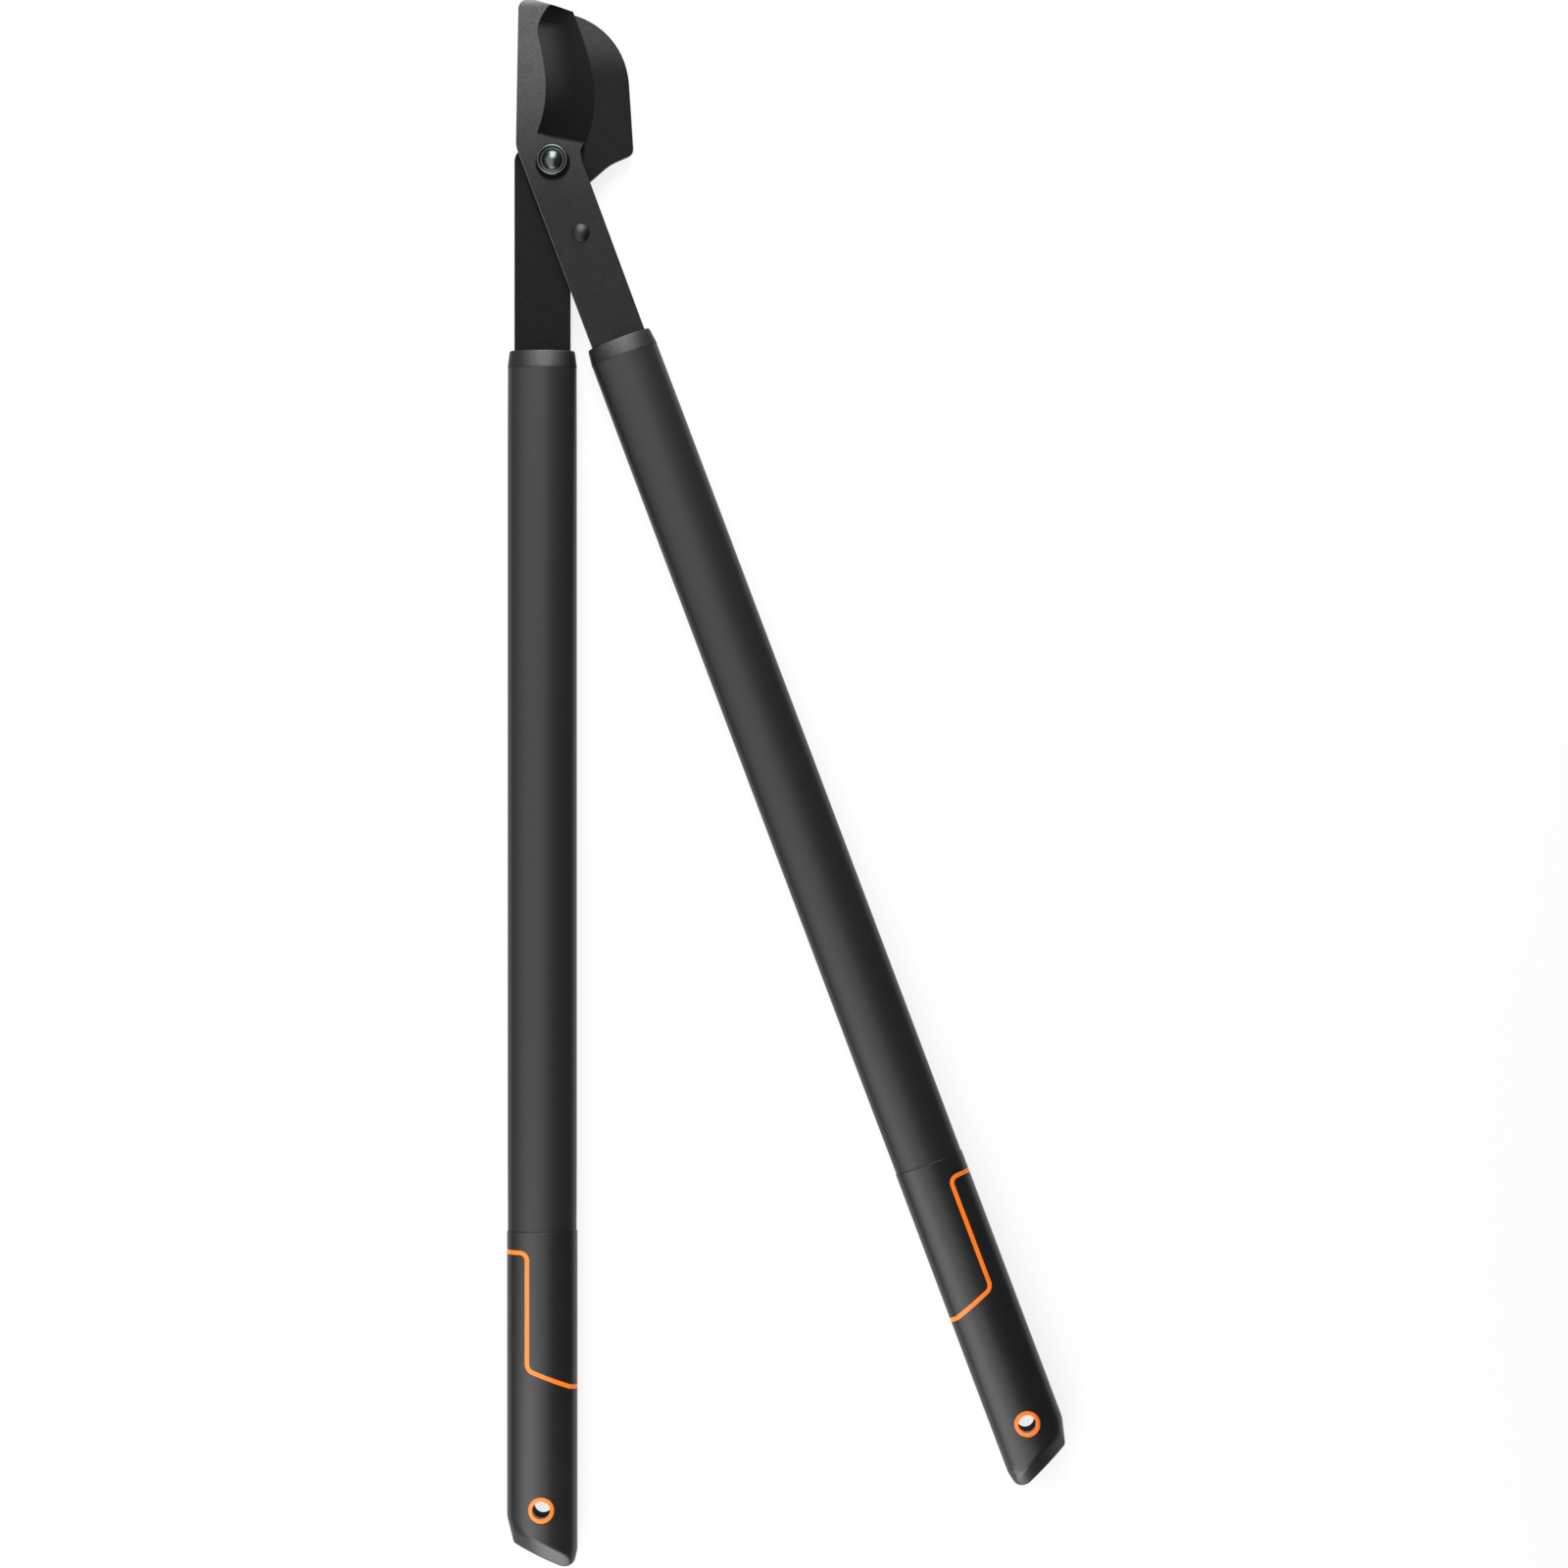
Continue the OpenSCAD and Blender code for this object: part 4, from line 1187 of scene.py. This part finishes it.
# Each soft box: its place and the place that it faces, its width and height, all in metres, and
# the brightness that its face has when seen in a mirror
SOFT_BOXES = {
    "Overhead box": ((-0.92, 0, 1.1), (-0.92, 0, 0), 1.98, 2.8, 1.5),
    "Head box": ((-0.09, 0.85, 0.42), (-0.11, 0.2, 0.1), 0.5, 0.85, 9.0),
    "Grip box": ((-0.16, -0.92, 0.26), (-0.02, -0.34, 0), 0.72, 0.34, 7.0),
    "Side box": ((-0.44, -0.55, 0.56), (0.12, -0.33, 0), 0.4, 0.4, 2.3),
}
# The place below the camera, in metres across and up from the pivot
AIM = (0.118029, -0.317745)
# The width that the lens is counted on, in mm, and half the floor's width, in metres
SENSOR = 36
FLOOR_HALF = 4.0


def add_soft_box(name, place, target, width, height, brightness):
    """A soft box that faces a target, and that the camera doesn't see itself."""
    lamp = bpy.data.lights.new(name, "AREA")
    lamp.shape = "RECTANGLE"
    lamp.size, lamp.size_y = width, height
    lamp.energy = brightness * math.pi * width * height
    obj = bpy.data.objects.new(name, lamp)
    obj.location = place
    obj.rotation_mode = "QUATERNION"
    obj.rotation_quaternion = (Vector(target) - Vector(place)).to_track_quat("-Z", "Y")
    obj.visible_camera = False
    bpy.context.scene.collection.objects.link(obj)


def white_paper():
    """White background paper: white to the camera and in mirrors, and a soft shadow on it."""
    material = bpy.data.materials.new("White paper sweep")
    material.use_nodes = True
    tree = material.node_tree
    tree.nodes.clear()
    path = add_node(tree, "LightPath", {})
    seen = path.outputs["Is Camera Ray"]
    for ray in ("Is Glossy Ray", "Is Transmission Ray"):
        either = {"operation": "MAXIMUM", 0: seen, 1: path.outputs[ray]}
        seen = add_node(tree, "Math", either, "Value")
    # most of what is seen is an even white, and the rest is lit paper that takes the shadow
    even_white = 0.82
    share = add_node(tree, "Math", {"operation": "MULTIPLY", 0: seen, 1: even_white}, "Value")
    paper = add_node(tree, "BsdfDiffuse", {"Color": (*linear("#f8f8f8"), 1)}, "BSDF")
    white = add_node(tree, "Emission", {"Color": (1, 1, 1, 1), "Strength": 1.0}, "Emission")
    mix = add_node(tree, "MixShader", {0: share, 1: paper, 2: white}, "Shader")
    add_node(tree, "OutputMaterial", {"Surface": mix})
    return material


def dim_room(strength):
    """A world that looks white to the camera and gives a dim even light."""
    world = bpy.data.worlds.new("Studio")
    world.use_nodes = True
    tree = world.node_tree
    tree.nodes.clear()
    seen = add_node(tree, "LightPath", {}, "Is Camera Ray")
    level = {"Value": seen, "To Min": strength, "To Max": 1.0}
    sky = {"Color": (1, 1, 1, 1), "Strength": add_node(tree, "MapRange", level, "Result")}
    add_node(tree, "OutputWorld", {"Surface": add_node(tree, "Background", sky, "Background")})
    return world


class LOPPERS_OT_stage(bpy.types.Operator):
    """Lays the pale floor, hangs the soft boxes and sets the camera straight above"""

    bl_idname = "loppers.stage"
    bl_label = "Studio"

    def execute(self, context):
        scene = context.scene
        stage = scene.loppers_stage
        sheet = bmesh.new()
        bmesh.ops.create_grid(sheet, x_segments=1, y_segments=1, size=FLOOR_HALF)
        floor = new_object("floor", sheet)
        floor.location.z = CAD_BOX[0].z
        floor.data.materials.append(white_paper())
        scene.world = dim_room(stage.room_light)
        for name, settings in SOFT_BOXES.items():
            add_soft_box(name, *settings)

        camera = bpy.data.cameras.new("Camera")
        camera.lens = stage.focal_length
        camera.sensor_width = SENSOR
        obj = bpy.data.objects.new("Camera", camera)
        obj.location = PIVOT + Vector((*AIM, stage.camera_height))
        scene.collection.objects.link(obj)
        scene.camera = obj
        scene.view_settings.view_transform = "Standard"
        return {"FINISHED"}


class LOPPERS_PT_panel(bpy.types.Panel):
    """Lists the loppers' pieces and their settings"""

    bl_idname = "LOPPERS_PT_panel"
    bl_label = "Bypass Loppers"
    bl_space_type = "VIEW_3D"
    bl_region_type = "UI"
    bl_category = "Loppers"

    def draw(self, context):
        layout = self.layout
        for key, group in SETTINGS.items():
            box = layout.box()
            for name in group.__annotations__:
                box.prop(getattr(context.scene, key), name)
        for operator in OPERATORS:
            layout.operator(operator.bl_idname)


OPERATORS = (
    LOPPERS_OT_cutting_blade,
    LOPPERS_OT_hook_blade,
    LOPPERS_OT_pivot,
    LOPPERS_OT_stop,
    LOPPERS_OT_collars,
    LOPPERS_OT_tubes,
    LOPPERS_OT_covers,
    LOPPERS_OT_hang_rings,
    LOPPERS_OT_inner_pieces,
    LOPPERS_OT_stage,
)
SETTINGS = {
    "loppers_sizes": LoppersSizes,
    "loppers_finish": LoppersFinish,
    "loppers_stage": LoppersStage,
}
CLASSES = (*SETTINGS.values(), *OPERATORS, LOPPERS_PT_panel)


def register():
    for cls in CLASSES:
        bpy.utils.register_class(cls)
    for key, group in SETTINGS.items():
        setattr(bpy.types.Scene, key, PointerProperty(type=group))


def unregister():
    for key in SETTINGS:
        delattr(bpy.types.Scene, key)
    for cls in reversed(CLASSES):
        bpy.utils.unregister_class(cls)


def main():
    register()
    bpy.ops.loppers.cutting_blade()
    bpy.ops.loppers.hook_blade()
    bpy.ops.loppers.pivot()
    bpy.ops.loppers.stop()
    bpy.ops.loppers.collars()
    bpy.ops.loppers.tubes()
    bpy.ops.loppers.covers()
    bpy.ops.loppers.hang_rings()
    bpy.ops.loppers.inner_pieces()
    bpy.ops.loppers.stage()


if __name__ == "__main__":
    main()
